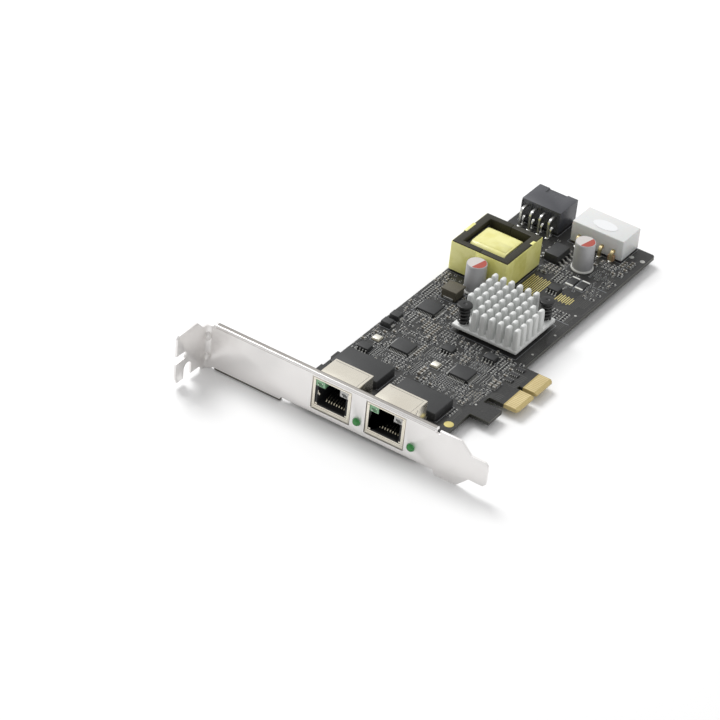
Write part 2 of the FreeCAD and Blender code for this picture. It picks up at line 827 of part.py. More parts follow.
def jack(index):
    """One shielded network jack: shield, housing with plug opening, contact wires, two lamps.

    Each piece's own frame: x from the jack's middle, y from its front, z from the board."""
    rise = jack_centre(index)
    inner_width = "(jack_width - 2*jack_skin)"

    shield = new_body("jack_shield")
    shell = new_sketch(shield, "XY_Plane")
    rectangle(shell, "-jack_width/2", "0", "jack_width", "jack_depth")
    pad(shield, shell, "jack_high")
    hollow = new_sketch(shield, "XY_Plane")
    rectangle(hollow, f"-{inner_width}/2", "jack_skin", inner_width, "(jack_depth - 2*jack_skin)")
    pocket(shield, hollow, "jack_high - jack_skin", reverse=True)
    window = new_sketch(shield, "XZ_Plane")
    rectangle(window, "-window_width/2", "window_low", "window_width", "window_high")
    pocket(shield, window, "2*jack_skin")
    for side in ("-jack_width/2", "jack_width/2 - jack_skin"):
        leg = new_sketch(shield, "XY_Plane")
        rectangle(leg, side, "jack_depth/2", "jack_skin", "jack_depth/8")
        pad(shield, leg, "board_thick + pin_below", reverse=True)
    at(shield, rise, "jack_front")
    node(shield, f"jack_shield_{index}")
    through_pins.append(shield)

    housing = new_body("jack_housing")
    base = new_sketch(housing, "XY_Plane")
    rectangle(base, f"-{inner_width}/2", "jack_skin", inner_width, "(jack_depth - 2*jack_skin)")
    pad(housing, base, "jack_high - jack_skin")
    plug = new_sketch(housing, "XZ_Plane")
    rectangle(plug, "-plug_width/2", "plug_low", "plug_width", "plug_high")
    pocket(housing, plug, "plug_depth")
    latch = new_sketch(housing, "XZ_Plane")
    rectangle(latch, "-latch_width/2", "plug_low + plug_high/2", "latch_width", "plug_high/2 + latch_high")
    pocket(housing, latch, "plug_depth")
    lamp_low = "window_low + window_high - jack_led_high"
    lamp_places = ("-window_width/2", "window_width/2 - jack_led_width")
    for left in lamp_places:
        seat = new_sketch(housing, "XZ_Plane")
        rectangle(seat, left, lamp_low, "jack_led_width", "jack_led_high")
        pocket(housing, seat, "jack_led_depth")
    at(housing, rise, "jack_front")
    node(housing, f"jack_housing_{index}")

    for left, name in zip(lamp_places, ("green", "clear")):
        lamp = block(left, "jack_skin", lamp_low, "jack_led_width", "jack_led_depth - jack_skin",
                     "jack_led_high")
        holder = group([lamp])
        share(at(holder, rise, "jack_front"), f"jack_lamps_{name}")

    wires = new_body("jack_wires")
    first = "-(wires_each_jack - 1)*wire_pitch/2 - wire_width/2"
    side = new_sketch(wires, "YZ_Plane", first)
    outline(side, [
        ("wire_start", "plug_low"),
        ("plug_depth", "plug_low + wire_climb"),
        ("plug_depth", "plug_low + wire_climb + wire_thick"),
        ("wire_start", "plug_low + wire_thick"),
    ])
    wire = pad(wires, side, "wire_width")
    grow(wires, "wires_row", "wires_each_jack", "wire_pitch", "X_Axis", [wire])
    feet = []
    for count in range(count_of("wires_each_jack")):
        row = "plug_depth" if count % 2 else "(plug_depth - 2*wire_pitch)"
        feet.append(centred_block(f"({count} - (wires_each_jack - 1)/2)*wire_pitch", row,
                                  "-board_thick - pin_below", "wire_width", "wire_width",
                                  "board_thick + pin_below"))
    contacts = group([wires] + feet)
    at(contacts, rise, "jack_front")
    node(contacts, f"jack_contacts_{index}")
    through_pins.append(contacts)


def panel_lamp(index):
    """A round lamp that looks out through the bracket, and the holder that carries it."""
    rise = f"{jack_centre(index)} - lamp_offset"
    holder_front = "(sheet + 1.5*jack_gap)"
    holder = centred_block("0", f"{holder_front} + lamp_block_depth/2", "0", "lamp_block",
                           "lamp_block_depth", "lamp_high + lamp_block/2")
    base = group([holder])
    at(base, rise, "0")
    node(base, f"lamp_holder_{index}")

    lens = turned("lens", [
        ("0", f"-{holder_front}"),
        ("lamp_width/2", f"-{holder_front}"),
        ("lamp_width/2", "lamp_proud - lamp_round"),
        ("lamp_width/2 - lamp_round", "lamp_proud"),
        ("0", "lamp_proud"),
    ])
    at(lens, rise, "0", "lamp_high", (FreeCAD.Vector(1, 0, 0), 90))
    node(lens, f"status_lamp_{index}")


def gull_row(count, pitch, out, shoulder, width):
    """A row of bent leads: x along the row and centred, y outwards from the chip, z from the board."""
    body = new_body("leads")
    side = new_sketch(body, "YZ_Plane", f"-({count} - 1)*{pitch}/2 - {width}/2")
    outline(side, [
        ("0", shoulder),
        (out, "0"),
        (out, "lead_thick"),
        ("0", f"{shoulder} + 1.5*lead_thick"),
    ])
    lead = pad(body, side, width)
    grow(body, "leads_row", count, pitch, "X_Axis", [lead])
    return body


def leads_beside(count, pitch, out, shoulder, width, distance, turn=0):
    """One row of leads on one side of a chip, turned about the chip's middle."""
    body = gull_row(count, pitch, out, shoulder, width)
    step = {0: ("0", distance), 90: (f"-({distance})", "0"), 180: ("0", f"-({distance})"),
            270: (distance, "0")}[turn]
    return place(body, step[0], step[1], "0", (FreeCAD.Vector(0, 0, 1), turn))


def magnetics(index):
    """A low moulded block of network transformers behind a jack, with its leads."""
    rise = f"magnet_{index}_rise"
    reach = f"magnet_{index}_reach"
    body = moulded("magnetics", "magnet_length", "magnet_depth", "magnet_high", "2")
    node(at(body, rise, reach), f"network_magnetics_{index}")
    rows = [leads_beside("magnet_leads", "magnet_lead_pitch", "small_lead_out", "magnet_high/3",
                         "2*lead_thick", "magnet_depth/2", turn) for turn in (0, 180)]
    leads = group(rows)
    share(at(leads, rise, reach), "magnetics_leads")


# ---- heat sink, its pins and the chip below ----

def push_pin_places():
    """Two opposite corners of the heat sink, from its middle."""
    return (("-(sink_side/2 - pin_inset_x)", "-(sink_side/2 - pin_inset_y)"),
            ("(sink_side/2 - pin_inset_x)", "(sink_side/2 - pin_inset_y)"))


def heat_sink():
    """An extruded comb, cross-cut into pins, with two corners cleared for the push pins."""
    body = new_body("heat_sink")
    column = "((sink_side - fin_thick)/(fin_columns - 1))"
    row = "((sink_side - fin_length)/(fin_rows - 1))"
    plate = new_sketch(body, "XY_Plane")
    rectangle(plate, "-sink_side/2", "-sink_side/2", "sink_side", "sink_side")
    pad(body, plate, "sink_base")
    fin = new_sketch(body, "XZ_Plane")
    left = "-sink_side/2"
    rectangle(fin, left, "sink_base/2", "fin_thick", "sink_high - sink_base/2")
    blade = pad(body, fin, "sink_side", middle=True)
    grow(body, "blades", "fin_columns", column, "X_Axis", [blade])
    slot = new_sketch(body, "YZ_Plane")
    rectangle(slot, "-sink_side/2 + fin_length", "sink_base", f"({row} - fin_length)", "sink_high")
    sawn = pocket(body, slot)
    grow(body, "saw_cuts", "(fin_rows - 1)", row, "Y_Axis", [sawn])
    for (x, y), sign in zip(push_pin_places(), ("-", "")):
        clear = new_sketch(body, "XY_Plane", "sink_base")
        edge = "sink_side"
        inner_x = f"{sign}(sink_side/2 - 2*{column} + ({column} - fin_thick)/2 + fin_thick/2)"
        inner_y = f"{sign}(sink_side/2 - 2*{row} + ({row} - fin_length)/2)"
        outline(clear, [
            (inner_x, inner_y),
            (f"{sign}{edge}", inner_y),
            (f"{sign}{edge}", f"{sign}{edge}"),
            (inner_x, f"{sign}{edge}"),
        ])
        pocket(body, clear, "sink_high", reverse=True)
        hole = new_sketch(body, "XY_Plane")
        circle(hole, x, y, "pin_shank + 2*pin_hole_gap")
        pocket(body, hole)
    at(body, "sink_rise", "sink_reach", "switch_high + pad_thick")
    node(body, "heat_sink")

    chip = moulded("switch_chip", "switch_side", "switch_side", "switch_high")
    node(at(chip, "sink_rise", "sink_reach"), "switch_chip")
    film = group([centred_block("0", "0", "0", "pad_side", "pad_side", "pad_thick")])
    node(at(film, "sink_rise", "sink_reach", "switch_high"), "thermal_pad")


def turned(name, points):
    """A solid of revolution about z from a half section of radius and height."""
    body = new_body(name)
    half = new_sketch(body, "XZ_Plane")
    outline(half, points)
    solid = body.newObject("PartDesign::Revolution", name + "_turned")
    solid.Profile = half
    solid.ReferenceAxis = (half, ["V_Axis"])
    solid.Angle = 360
    return body


def push_pin(index):
    """A barbed pin pressed through the heat sink and the board, with a spring below its head."""
    x, y = push_pin_places()[index - 1]
    barb = "-board_thick - pin_hole_gap"
    body = turned("push_pin", [
        ("0", f"{barb} - pin_shank"),
        ("pin_shank*0.7", barb),
        ("pin_shank/2", barb),
        ("pin_shank/2", "pin_top - pin_head_high"),
        ("pin_head/2", "pin_top - pin_head_high"),
        ("pin_head/2", "pin_top"),
        ("0", "pin_top"),
    ])
    at(body, f"sink_rise - {x}", f"sink_reach + {y}")
    node(body, f"push_pin_{index}")

    spring = coil_spring()
    at(spring, f"sink_rise - {x}", f"sink_reach + {y}",
       "switch_high + pad_thick + sink_base + spring_wire/2")
    share(spring, "push_pin_springs")


def coil_spring():
    """A coil of wire with a few flat sides, from the heat sink's base up to the pin's head."""
    wire = number("spring_wire")/2
    radius = number("spring_wide")/2
    rise = number("pin_top - pin_head_high - switch_high - pad_thick - sink_base - spring_wire")
    steps = count_of("spring_turns")*count_of("spring_steps")
    points = []
    for step in range(steps + 1):
        angle = 2*math.pi*step/count_of("spring_steps")
        points.append(FreeCAD.Vector(radius*math.cos(angle), radius*math.sin(angle), rise*step/steps))
    along = (points[1] - points[0]).normalize()
    across = along.cross(FreeCAD.Vector(0, 0, 1)).normalize()*wire
    sides = count_of("spring_sides")
    corners = [points[0] + FreeCAD.Rotation(along, 360*corner/sides).multVec(across)
               for corner in range(sides)]
    corners.append(corners[0])
    spring = doc.addObject("Part::Feature", "spring")
    spring.Shape = Part.makePolygon(points).makePipeShell([Part.makePolygon(corners)], True, True, 1)
    return spring


# ---- wrapped transformer ----

def transformer():
    """Two core halves round a wound bobbin, wrapped in tape; pins in two rails below."""
    rise, reach = "core_rise", "core_reach"
    half = "core_length/2"
    side = "core_width/2"
    window = "core_length/2 - core_back"
    limb = "core_width/2 - core_leg"
    middle_low = "(core_low + core_window_low)"
    middle_high = "(core_high - core_low - 2*core_window_low)"
    for index, turn in ((1, 180), (2, 0)):
        body = new_body("core_half")
        frame = new_sketch(body, "XY_Plane", "core_low")
        outline(frame, [
            ("0", f"-{side}"), (half, f"-{side}"), (half, side), ("0", side),
            ("0", limb), (window, limb), (window, f"-({limb})"), ("0", f"-({limb})"),
        ])
        pad(body, frame, "core_high - core_low")
        middle = new_sketch(body, "XY_Plane", middle_low)
        rectangle(middle, "0", "-core_middle/2", f"{half} - core_back/2", "core_middle")
        pad(body, middle, middle_high)
        at(body, rise, reach, "0", (FreeCAD.Vector(0, 0, 1), turn))
        node(body, f"transformer_core_{index}")

    reel_half = f"({window} - bobbin_play)"
    hole_side = "(core_middle + 2*bobbin_play)"
    hole_high = f"({middle_high} + 2*bobbin_play)"
    hole_low = f"({middle_low} - bobbin_play)"
    tube = centred_block("0", "0", f"{hole_low} - bobbin_wall", f"2*{reel_half}",
                         f"{hole_side} + 2*bobbin_wall", f"{hole_high} + 2*bobbin_wall")
    pieces = [tube]
    for sign in ("-", ""):
        pieces.append(centred_block(f"{sign}({reel_half} - bobbin_wall/2)", "0", "core_low - bobbin_wall",
                                    "bobbin_wall", "winding_wide",
                                    "winding_high - core_low"))
        pieces.append(centred_block(f"{sign}({half} - core_back/2 - bobbin_wall)", "0", "bobbin_lift",
                                    "core_back + 2*bobbin_wall", f"2*{side} - 2*bobbin_wall",
                                    f"core_low - bobbin_lift"))
    passage = centred_block("0", "0", hole_low, "core_length", hole_side, hole_high)
    reel = cut(fuse(pieces), passage)
    node(at(reel, rise, reach), "transformer_bobbin")

    coil = new_body("winding")
    section = new_sketch(coil, "YZ_Plane")
    coil_low = "core_low"
    rectangle(section, "-winding_wide/2", coil_low, "winding_wide", f"winding_high - {coil_low}")
    wound = pad(coil, section, f"2*({reel_half} - bobbin_wall - bobbin_play)", middle=True)
    long_edges = edges_where(wound, lambda a, b: abs(a.x - b.x) > 1)
    round_edges(coil, wound, long_edges, "winding_round")
    bore = new_sketch(coil, "YZ_Plane")
    rectangle(bore, f"-{hole_side}/2 - bobbin_wall", f"{hole_low} - bobbin_wall",
              f"({hole_side} + 2*bobbin_wall)", f"{hole_high} + 2*bobbin_wall")
    pocket(coil, bore)
    node(at(coil, rise, reach), "transformer_winding")

    tape = new_body("tape")
    band = new_sketch(tape, "XY_Plane", "tape_low")
    rectangle(band, f"-{half} - tape_thick", f"-{side} - tape_thick", "core_length + 2*tape_thick",
              "core_width + 2*tape_thick")
    pad(tape, band, "core_high - tape_drop - tape_low")
    inside = new_sketch(tape, "XY_Plane")
    rectangle(inside, f"-{half}", f"-{side}", "core_length", "core_width")
    pocket(tape, inside)
    node(at(tape, rise, reach), "transformer_tape")

    pins = []
    for sign in ("-", ""):
        for count in range(count_of("core_pins")):
            pins.append(centred_block(f"{sign}({half} - core_back/2)",
                                      f"({count} - (core_pins - 1)/2)*core_pin_pitch",
                                      "-board_thick - pin_below", "core_pin", "core_pin",
                                      f"board_thick + pin_below + bobbin_lift"))
    feet = group(pins)
    node(at(feet, rise, reach), "transformer_pins")
    through_pins.append(feet)


# ---- capacitors and choke ----

def capacitor(index):
    """A sleeved can standing on its seat."""
    rise, reach = f"can_{index}_rise", f"can_{index}_reach"
    can = turned("can", [
        ("0", "can_seat"),
        ("can_width/2", "can_seat"),
        ("can_width/2", "can_high - can_edge"),
        ("can_width/2 - can_edge", "can_high"),
        ("0", "can_high"),
    ])
    node(at(can, rise, reach), f"capacitor_{index}")
    seat = centred_block("0", "0", "0", "(can_width - 4*can_edge)", "(can_width - 4*can_edge)", "can_seat")
    share(at(group([seat]), rise, reach), "capacitor_seats")
    leads = group([centred_block(f"{sign}can_lead_pitch/2", "0", "-board_thick - pin_below", "can_lead",
                                 "can_lead", "board_thick + pin_below") for sign in ("-", "")])
    share(at(leads, rise, reach), "capacitor_leads")
    through_pins.append(leads)


def choke():
    """The square power choke, whose cap stands out over its sides."""
    body = new_body("choke")
    cap_low = "choke_high - choke_cap"
    for low, high, inset in (("0", cap_low, "choke_overhang"), (cap_low, "choke_cap", "0")):
        face = new_sketch(body, "XY_Plane", low)
        rectangle(face, f"-choke_length/2 + {inset}", f"-choke_width/2 + {inset}",
                  f"(choke_length - 2*{inset})", f"(choke_width - 2*{inset})")
        pad(body, face, high)
    node(at(body, "choke_rise", "choke_reach"), "power_choke")


# ---- power headers ----

def bent_pin(x, z, start, bend, width):
    """A pin that runs level from inside a header, turns down in three short steps and passes through
    the board."""
    pin = new_body("pin")
    side = new_sketch(pin, "YZ_Plane", f"{x} - {width}/2")
    under = "-board_thick - pin_below"
    outer = f"-({bend}) - {width}/2"
    inner = f"-({bend}) + {width}/2"
    outline(side, [
        (start, f"{z} + {width}/2"),
        (f"{outer} + pin_curve", f"{z} + {width}/2"),
        (f"{outer} + 0.3*pin_curve", f"{z} + {width}/2 - 0.3*pin_curve"),
        (outer, f"{z} + {width}/2 - pin_curve"),
        (outer, under),
        (inner, under),
        (inner, f"{z} - {width}/2"),
        (start, f"{z} - {width}/2"),
    ])
    pad(pin, side, width)
    return pin


def black_header():
    """A right-angle header with two rows of square cells that open towards the tail."""
    rise, reach = "black_rise", "black_reach"
    body = new_body("header")
    face = new_sketch(body, "XY_Plane", "black_lift")
    rectangle(face, "-black_width/2", "0", "black_width", "black_depth")
    pad(body, face, "black_high - black_lift")
    middle = "(black_lift + black_high)/2"
    rows = (f"({middle} - black_row/2)", f"({middle} + black_row/2)")
    columns = [f"({step} - (black_columns - 1)/2)*black_pitch" for step in range(count_of("black_columns"))]
    for z in rows:
        cells = new_sketch(body, "XZ_Plane", "-black_depth")
        for x in columns:
            rectangle(cells, f"{x} - black_cell/2", f"{z} - black_cell/2", "black_cell", "black_cell")
        pocket(body, cells, "black_cell_depth", reverse=True)
    notch = new_sketch(body, "XZ_Plane", "-black_depth")
    rectangle(notch, "-black_notch/2", "black_high - black_notch_down", "black_notch",
              "2*black_notch_down")
    pocket(body, notch, "black_notch_depth", reverse=True)
    slots = new_sketch(body, "XZ_Plane")
    for x in columns:
        rectangle(slots, f"{x} - black_slot/2", "0", "black_slot", "black_slot_high")
    pocket(body, slots, "black_rib", reverse=True)
    pins = []
    for z, bend in zip(rows, ("black_low_bend", "black_high_bend")):
        for x in columns:
            pins.append(bent_pin(x, z, "black_depth - black_cell_depth/3", bend, "black_pin"))
    leads = group(pins)
    shell = cut(body, leads)
    node(at(shell, rise, reach), "black_header")
    placed = group([leads])
    node(at(placed, rise, reach), "black_header_pins")
    through_pins.append(placed)


def white_header():
    """A right-angle header with one wide, chamfered socket that opens towards the tail."""
    rise, reach = "white_rise", "white_reach"
    body = new_body("header")
    face = new_sketch(body, "XY_Plane", "white_lift")
    rectangle(face, "-white_width/2", "0", "white_width", "white_depth")
    pad(body, face, "white_high - white_lift")
    left = "-white_width/2 + white_wall"
    right = "white_width/2 - white_wall"
    low = "white_lift + white_wall"
    socket = new_sketch(body, "XZ_Plane", "-white_depth")
    outline(socket, [
        (f"{left} + white_corner", low),
        (f"{right} - white_corner", low),
        (right, f"{low} + white_corner"),
        (right, "white_high - white_wall"),
        (left, "white_high - white_wall"),
        (left, f"{low} + white_corner"),
    ])
    pocket(body, socket, "white_socket_depth", reverse=True)
    pins = [bent_pin(f"({step} - (white_pins - 1)/2)*white_pitch", "white_pin_high",
                     "white_depth - white_socket_depth/4", "white_bend", "white_pin")
            for step in range(count_of("white_pins"))]
    leads = group(pins)
    shell = cut(body, leads)
    node(at(shell, rise, reach), "white_header")
    placed = group([leads])
    node(at(placed, rise, reach), "white_header_pins")
    through_pins.append(placed)

    oval = doc.addObject("Part::Ellipse", "oval")
    tie(oval, MajorRadius="disc_long/2", MinorRadius="disc_wide/2")
    disc = doc.addObject("Part::Extrusion", "disc")
    disc.Base = oval
    disc.Dir = FreeCAD.Vector(0, 0, 1)
    disc.Solid = True
    tie(disc, LengthFwd="disc_thick")
    node(at(disc, rise, f"{reach} + white_depth*0.42", "white_high"), "header_disc")


# ---- chips and small parts ----

def flat_chips():
    """Three flat chips with leads on all four sides."""
    rows = []
    for index in (1, 2, 3):
        rise, reach = f"flat_{index}_rise", f"flat_{index}_reach"
        body = moulded("flat_chip", "flat_length", "flat_width", "flat_high - flat_lift", "6")
        node(at(body, rise, reach, "flat_lift"), f"flat_chip_{index}")
        for turn in (0, 90, 180, 270):
            distance = "flat_length/2" if turn in (90, 270) else "flat_width/2"
            side = group([leads_beside("flat_leads", "flat_lead_pitch", "flat_lead_out",
                                       "flat_lift + lead_thick", "1.5*lead_thick", distance, turn)])
            rows.append(at(side, rise, reach))
    node(group(rows), "flat_chip_leads")


def small_chips():
    """Small-outline chips, four leads a side, at their places on the board."""
    bodies, rows = [], []
    for rise, reach in copies("small_chip"):
        body = moulded("small_chip", "small_length", "small_width", "small_high - flat_lift", "6")
        bodies.append(at(body, rise, reach, "flat_lift"))
        sides = group([leads_beside("small_leads", "small_lead_pitch", "small_lead_out", "small_high/2",
                                    "2*lead_thick", "small_width/2", turn) for turn in (0, 180)])
        rows.append(at(sides, rise, reach))
    node(group(bodies), "small_chips")
    node(group(rows), "small_chip_leads")


def isolator():
    """The tall isolator behind the transformer, four leads a side."""
    body = moulded("isolator", "iso_width", "iso_length", "iso_high - lead_thick", "4")
    node(at(body, "iso_rise", "iso_reach", "lead_thick"), "isolator")
    rows = group([leads_beside("iso_leads", "iso_lead_pitch", "iso_lead_out", "iso_high/2", "4*lead_thick",
                               "iso_width/2", turn) for turn in (90, 270)])
    node(at(rows, "iso_rise", "iso_reach"), "isolator_leads")


def two_terminal_parts():
    """Diodes, crystals and the large sense resistors, each with its terminals."""
    bodies, ends = [], []
    for rise, reach in copies("diode"):
        body = moulded("diode", "diode_length", "diode_width", "diode_high", "5")
        bodies.append(at(body, rise, reach))
        for sign in ("-", ""):
            end = centred_block(f"{sign}(diode_length/2 + 1.5*lead_thick)", "0", "0", "3*lead_thick",
                                "diode_width*0.6", "diode_high/3")
            ends.append(at(group([end]), rise, reach))
    node(group(bodies), "diodes")
    node(group(ends), "diode_terminals")

    bases, lids = [], []
    for rise, reach in copies("crystal"):
        base = centred_block("0", "0", "0", "crystal_side", "crystal_side", "crystal_high*0.7")
        bases.append(at(group([base]), rise, reach))
        lid = centred_block("0", "0", "crystal_high*0.7", "crystal_side*0.86", "crystal_side*0.86",
                            "crystal_high*0.3")
        lids.append(at(group([lid]), rise, reach))
    node(group(bases), "crystal_bases")
    node(group(lids), "crystal_lids")

    bodies, caps = [], []
    for rise, reach in copies("sense"):
        body = centred_block("0", "0", "0", "sense_width", "sense_length - 2*sense_cap", "sense_high")
        bodies.append(at(group([body]), rise, reach))
        for sign in ("-", ""):
            end = centred_block("0", f"{sign}(sense_length/2 - sense_cap/2)", "0", "sense_width",
                                "sense_cap", "sense_high")
            caps.append(at(group([end]), rise, reach))
    node(group(bodies), "sense_resistors")
    node(group(caps), "sense_resistor_caps")


def bare_strips():
    """Two combs of bare plated strips that spread the power stage's heat."""
    strips = []
    for comb in ("strips_1", "strips_2"):
        for step in range(count_of(f"{comb}_count")):
            short = f"{step % 2}*strip_stagger"
            strip = block(f"{step}*strip_pitch", short, "0", "strip_width", f"{comb}_length - 2*{short}",
                          "strip_thick")
            strips.append(at(group([strip]), f"{comb}_rise", f"{comb}_reach"))
    node(group(strips), "bare_strips")


def board_eyelet():
    """A plated pad round the hole in the board's corner beside the bracket."""
    plate = centred_block("0", "0", "0", "guide_pad", "guide_pad", "strip_thick")
    hole = rod("0", "0", "-board_thick", "guide_hole", "board_thick + strip_thick")
    node(at(cut(plate, hole), "guide_rise", "guide_reach"), "board_eyelet")
    through_pins.append(at(group([hole]), "guide_rise", "guide_reach"))


bracket()
bracket_screws()
edge_contacts()
for place_index in (1, 2):
    jack(place_index)
    panel_lamp(place_index)
    magnetics(place_index)
    push_pin(place_index)
    capacitor(place_index)
heat_sink()
transformer()
choke()
black_header()
white_header()
flat_chips()
small_chips()
isolator()
two_terminal_parts()
bare_strips()
board_eyelet()
for name, things in shared.items():
    node(group(things), name)
node(cut(board_blank(), group(through_pins)), "circuit_board")

doc.recompute()
faults = [f"{thing.Name}: {thing.State}" for thing in doc.Objects
          if "Invalid" in thing.State or "Error" in thing.State]
faults += [f"{thing.Label}: bad shape" for thing in nodes
           if thing.Shape.isNull() or not thing.Shape.isValid() or not thing.Shape.Solids]
if faults:
    raise RuntimeError("\n".join(faults))

os.makedirs("parts", exist_ok=True)
for thing in nodes:
    thing.Shape.exportStep(f"parts/{thing.Label}.step")
    print(f"{thing.Label}: {len(thing.Shape.Solids)} solids, {thing.Shape.Volume:.2f} mm3")
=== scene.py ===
import itertools
import json
import math
import random

import bmesh
import bpy
from mathutils import Matrix, Vector
from mathutils.bvhtree import BVHTree


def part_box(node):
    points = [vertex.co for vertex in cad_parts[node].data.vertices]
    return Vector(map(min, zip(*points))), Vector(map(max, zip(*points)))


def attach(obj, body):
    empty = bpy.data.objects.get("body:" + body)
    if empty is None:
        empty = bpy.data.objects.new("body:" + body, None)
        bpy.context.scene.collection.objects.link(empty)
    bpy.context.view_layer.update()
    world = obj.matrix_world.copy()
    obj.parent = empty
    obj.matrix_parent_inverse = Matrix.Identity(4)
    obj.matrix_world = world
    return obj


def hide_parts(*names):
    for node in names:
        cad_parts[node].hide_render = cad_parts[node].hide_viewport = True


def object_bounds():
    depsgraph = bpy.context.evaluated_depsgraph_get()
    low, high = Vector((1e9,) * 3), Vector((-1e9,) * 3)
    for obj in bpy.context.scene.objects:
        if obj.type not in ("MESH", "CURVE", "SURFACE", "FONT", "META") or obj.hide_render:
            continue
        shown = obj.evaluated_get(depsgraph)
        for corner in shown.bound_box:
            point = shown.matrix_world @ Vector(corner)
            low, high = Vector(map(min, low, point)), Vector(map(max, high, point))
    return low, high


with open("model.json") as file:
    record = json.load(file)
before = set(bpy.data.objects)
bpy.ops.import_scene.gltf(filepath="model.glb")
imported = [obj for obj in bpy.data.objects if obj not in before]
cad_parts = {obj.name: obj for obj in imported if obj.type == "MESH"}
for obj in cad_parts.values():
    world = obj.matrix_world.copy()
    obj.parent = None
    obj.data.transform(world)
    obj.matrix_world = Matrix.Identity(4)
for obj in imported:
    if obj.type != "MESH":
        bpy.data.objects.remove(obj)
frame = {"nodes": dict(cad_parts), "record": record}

# Network interface card, dressed over its solids. Everything is in the card's own frame, in metres:
# +X out of the edge connector, +Y from the bracket to the tail, +Z out of the component side.
#
# Two measures place what lies on the board, as on a card drawing, both in millimetres:
#   rise   height above the connector's outer edge, so X = -rise
#   reach  distance behind the bracket's front face, so Y = reach - BRACKET_TO_KEY

CAD_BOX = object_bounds()
MM = 0.001
PER_MM = 1000.0      # turns repeats in a millimetre into repeats in a metre
BOARD_UNDER, BOARD_TOP = (corner.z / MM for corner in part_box("circuit_board"))
LEDGE_LENGTH = 18.6  # the screw ledge stands this far out from the bracket's face
BRACKET_TO_KEY = -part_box("bracket")[0].y / MM - LEDGE_LENGTH
SAME_PLACE = 1e-7    # corners closer than this, in metres, are one
SKIN = 0.02          # thickness of ink, plating and tracks on the board
TONGUE_BARE = 6.1    # the laminate is bare this far behind the connector's outer edge
TONGUE_HALF = 12.7   # and this far to each side of its key

random.seed(11)


# ---- shader groups ----

def feed(tree, target, value):
    """Give a socket a plain value, or link another node's socket to it."""
    if isinstance(value, bpy.types.NodeSocket):
        tree.links.new(value, target)
    else:
        target.default_value = value


def add(tree, kind, settings=None, **values):
    """A node with its settings, and its inputs by name; underscores stand for spaces."""
    made = tree.nodes.new(kind)
    for key, value in (settings or {}).items():
        setattr(made, key, value)
    for key, value in values.items():
        feed(tree, made.inputs[key.replace("_", " ")], value)
    return made


def maths(tree, operation, first, second=None):
    """A Math node fed by sockets or plain numbers; returns its result socket."""
    made = add(tree, "ShaderNodeMath", {"operation": operation})
    feed(tree, made.inputs[0], first)
    if second is not None:
        feed(tree, made.inputs[1], second)
    return made.outputs[0]


def ramp(tree, factor, low, high):
    """Map a value so that low gives 0 and high gives 1, clamped."""
    made = add(tree, "ShaderNodeMapRange", {"clamp": True, "interpolation_type": "SMOOTHSTEP"},
               From_Min=low, From_Max=high, Value=factor)
    return made.outputs["Result"]


def mix_colours(tree, mask, low, high):
    """A colour that runs from low to high with a mask; each is plain or comes from a socket."""
    mix = add(tree, "ShaderNodeMix", {"data_type": "RGBA"})
    for label, value in (("Factor", mask), ("A", low), ("B", high)):
        feed(tree, mix.inputs[label], (*value, 1.0) if isinstance(value, tuple) else value)
    return mix.outputs["Result"]


def object_place(tree):
    """The place on the piece, in metres."""
    return tree.nodes.new("ShaderNodeTexCoord").outputs["Object"]


def shader_group(name, inputs, outputs):
    """A node group with named numbers in (name: default) and named numbers out."""
    group = bpy.data.node_groups.new(name, "ShaderNodeTree")
    for label, default in inputs.items():
        socket = group.interface.new_socket(label, in_out="INPUT", socket_type="NodeSocketFloat")
        socket.default_value = default
    for label in outputs:
        group.interface.new_socket(label, in_out="OUTPUT", socket_type="NodeSocketFloat")
    return group, group.nodes.new("NodeGroupInput"), group.nodes.new("NodeGroupOutput")


def grain_group():
    """Fine speckle of a moulded, blasted or sintered surface, and slow blotches under it."""
    group, start, end = shader_group("surface_grain", {"Grains per mm": 6.0, "Blotches per mm": 0.15},
                                     ("Speckle", "Blotches"))
    place = object_place(group)
    for source, target, detail in (("Grains per mm", "Speckle", 2.0), ("Blotches per mm", "Blotches", 3.0)):
        scale = maths(group, "MULTIPLY", start.outputs[source], PER_MM)
        noise = add(group, "ShaderNodeTexNoise", Vector=place, Scale=scale, Detail=detail, Roughness=0.55)
        feed(group, end.inputs[target], noise.outputs["Fac"])
    return group


def rolled_group():
    """Rolling lines of sheet metal along one direction, and the smudges left by handling."""
    group, start, end = shader_group(
        "rolled_sheet", {"Along": 0.06, "Across X": 5.0, "Across Y": 5.0, "Across Z": 5.0},
        ("Lines", "Smudges"))
    place = object_place(group)
    scale = add(group, "ShaderNodeCombineXYZ", **{
        axis: maths(group, "MULTIPLY", start.outputs["Across " + axis], PER_MM) for axis in "XYZ"})
    stretched = add(group, "ShaderNodeVectorMath", {"operation": "MULTIPLY"})
    feed(group, stretched.inputs[0], place)
    feed(group, stretched.inputs[1], scale.outputs[0])
    lines = add(group, "ShaderNodeTexNoise", Vector=stretched.outputs[0], Scale=1.0, Detail=3.0,
                Roughness=0.6)
    smudges = add(group, "ShaderNodeTexNoise", Vector=place, Detail=4.0, Roughness=0.6,
                  Scale=maths(group, "MULTIPLY", start.outputs["Along"], PER_MM))
    feed(group, end.inputs["Lines"], lines.outputs["Fac"])
    feed(group, end.inputs["Smudges"], smudges.outputs["Fac"])
    return group


GRAIN = grain_group()
ROLLED = rolled_group()


# ---- materials ----

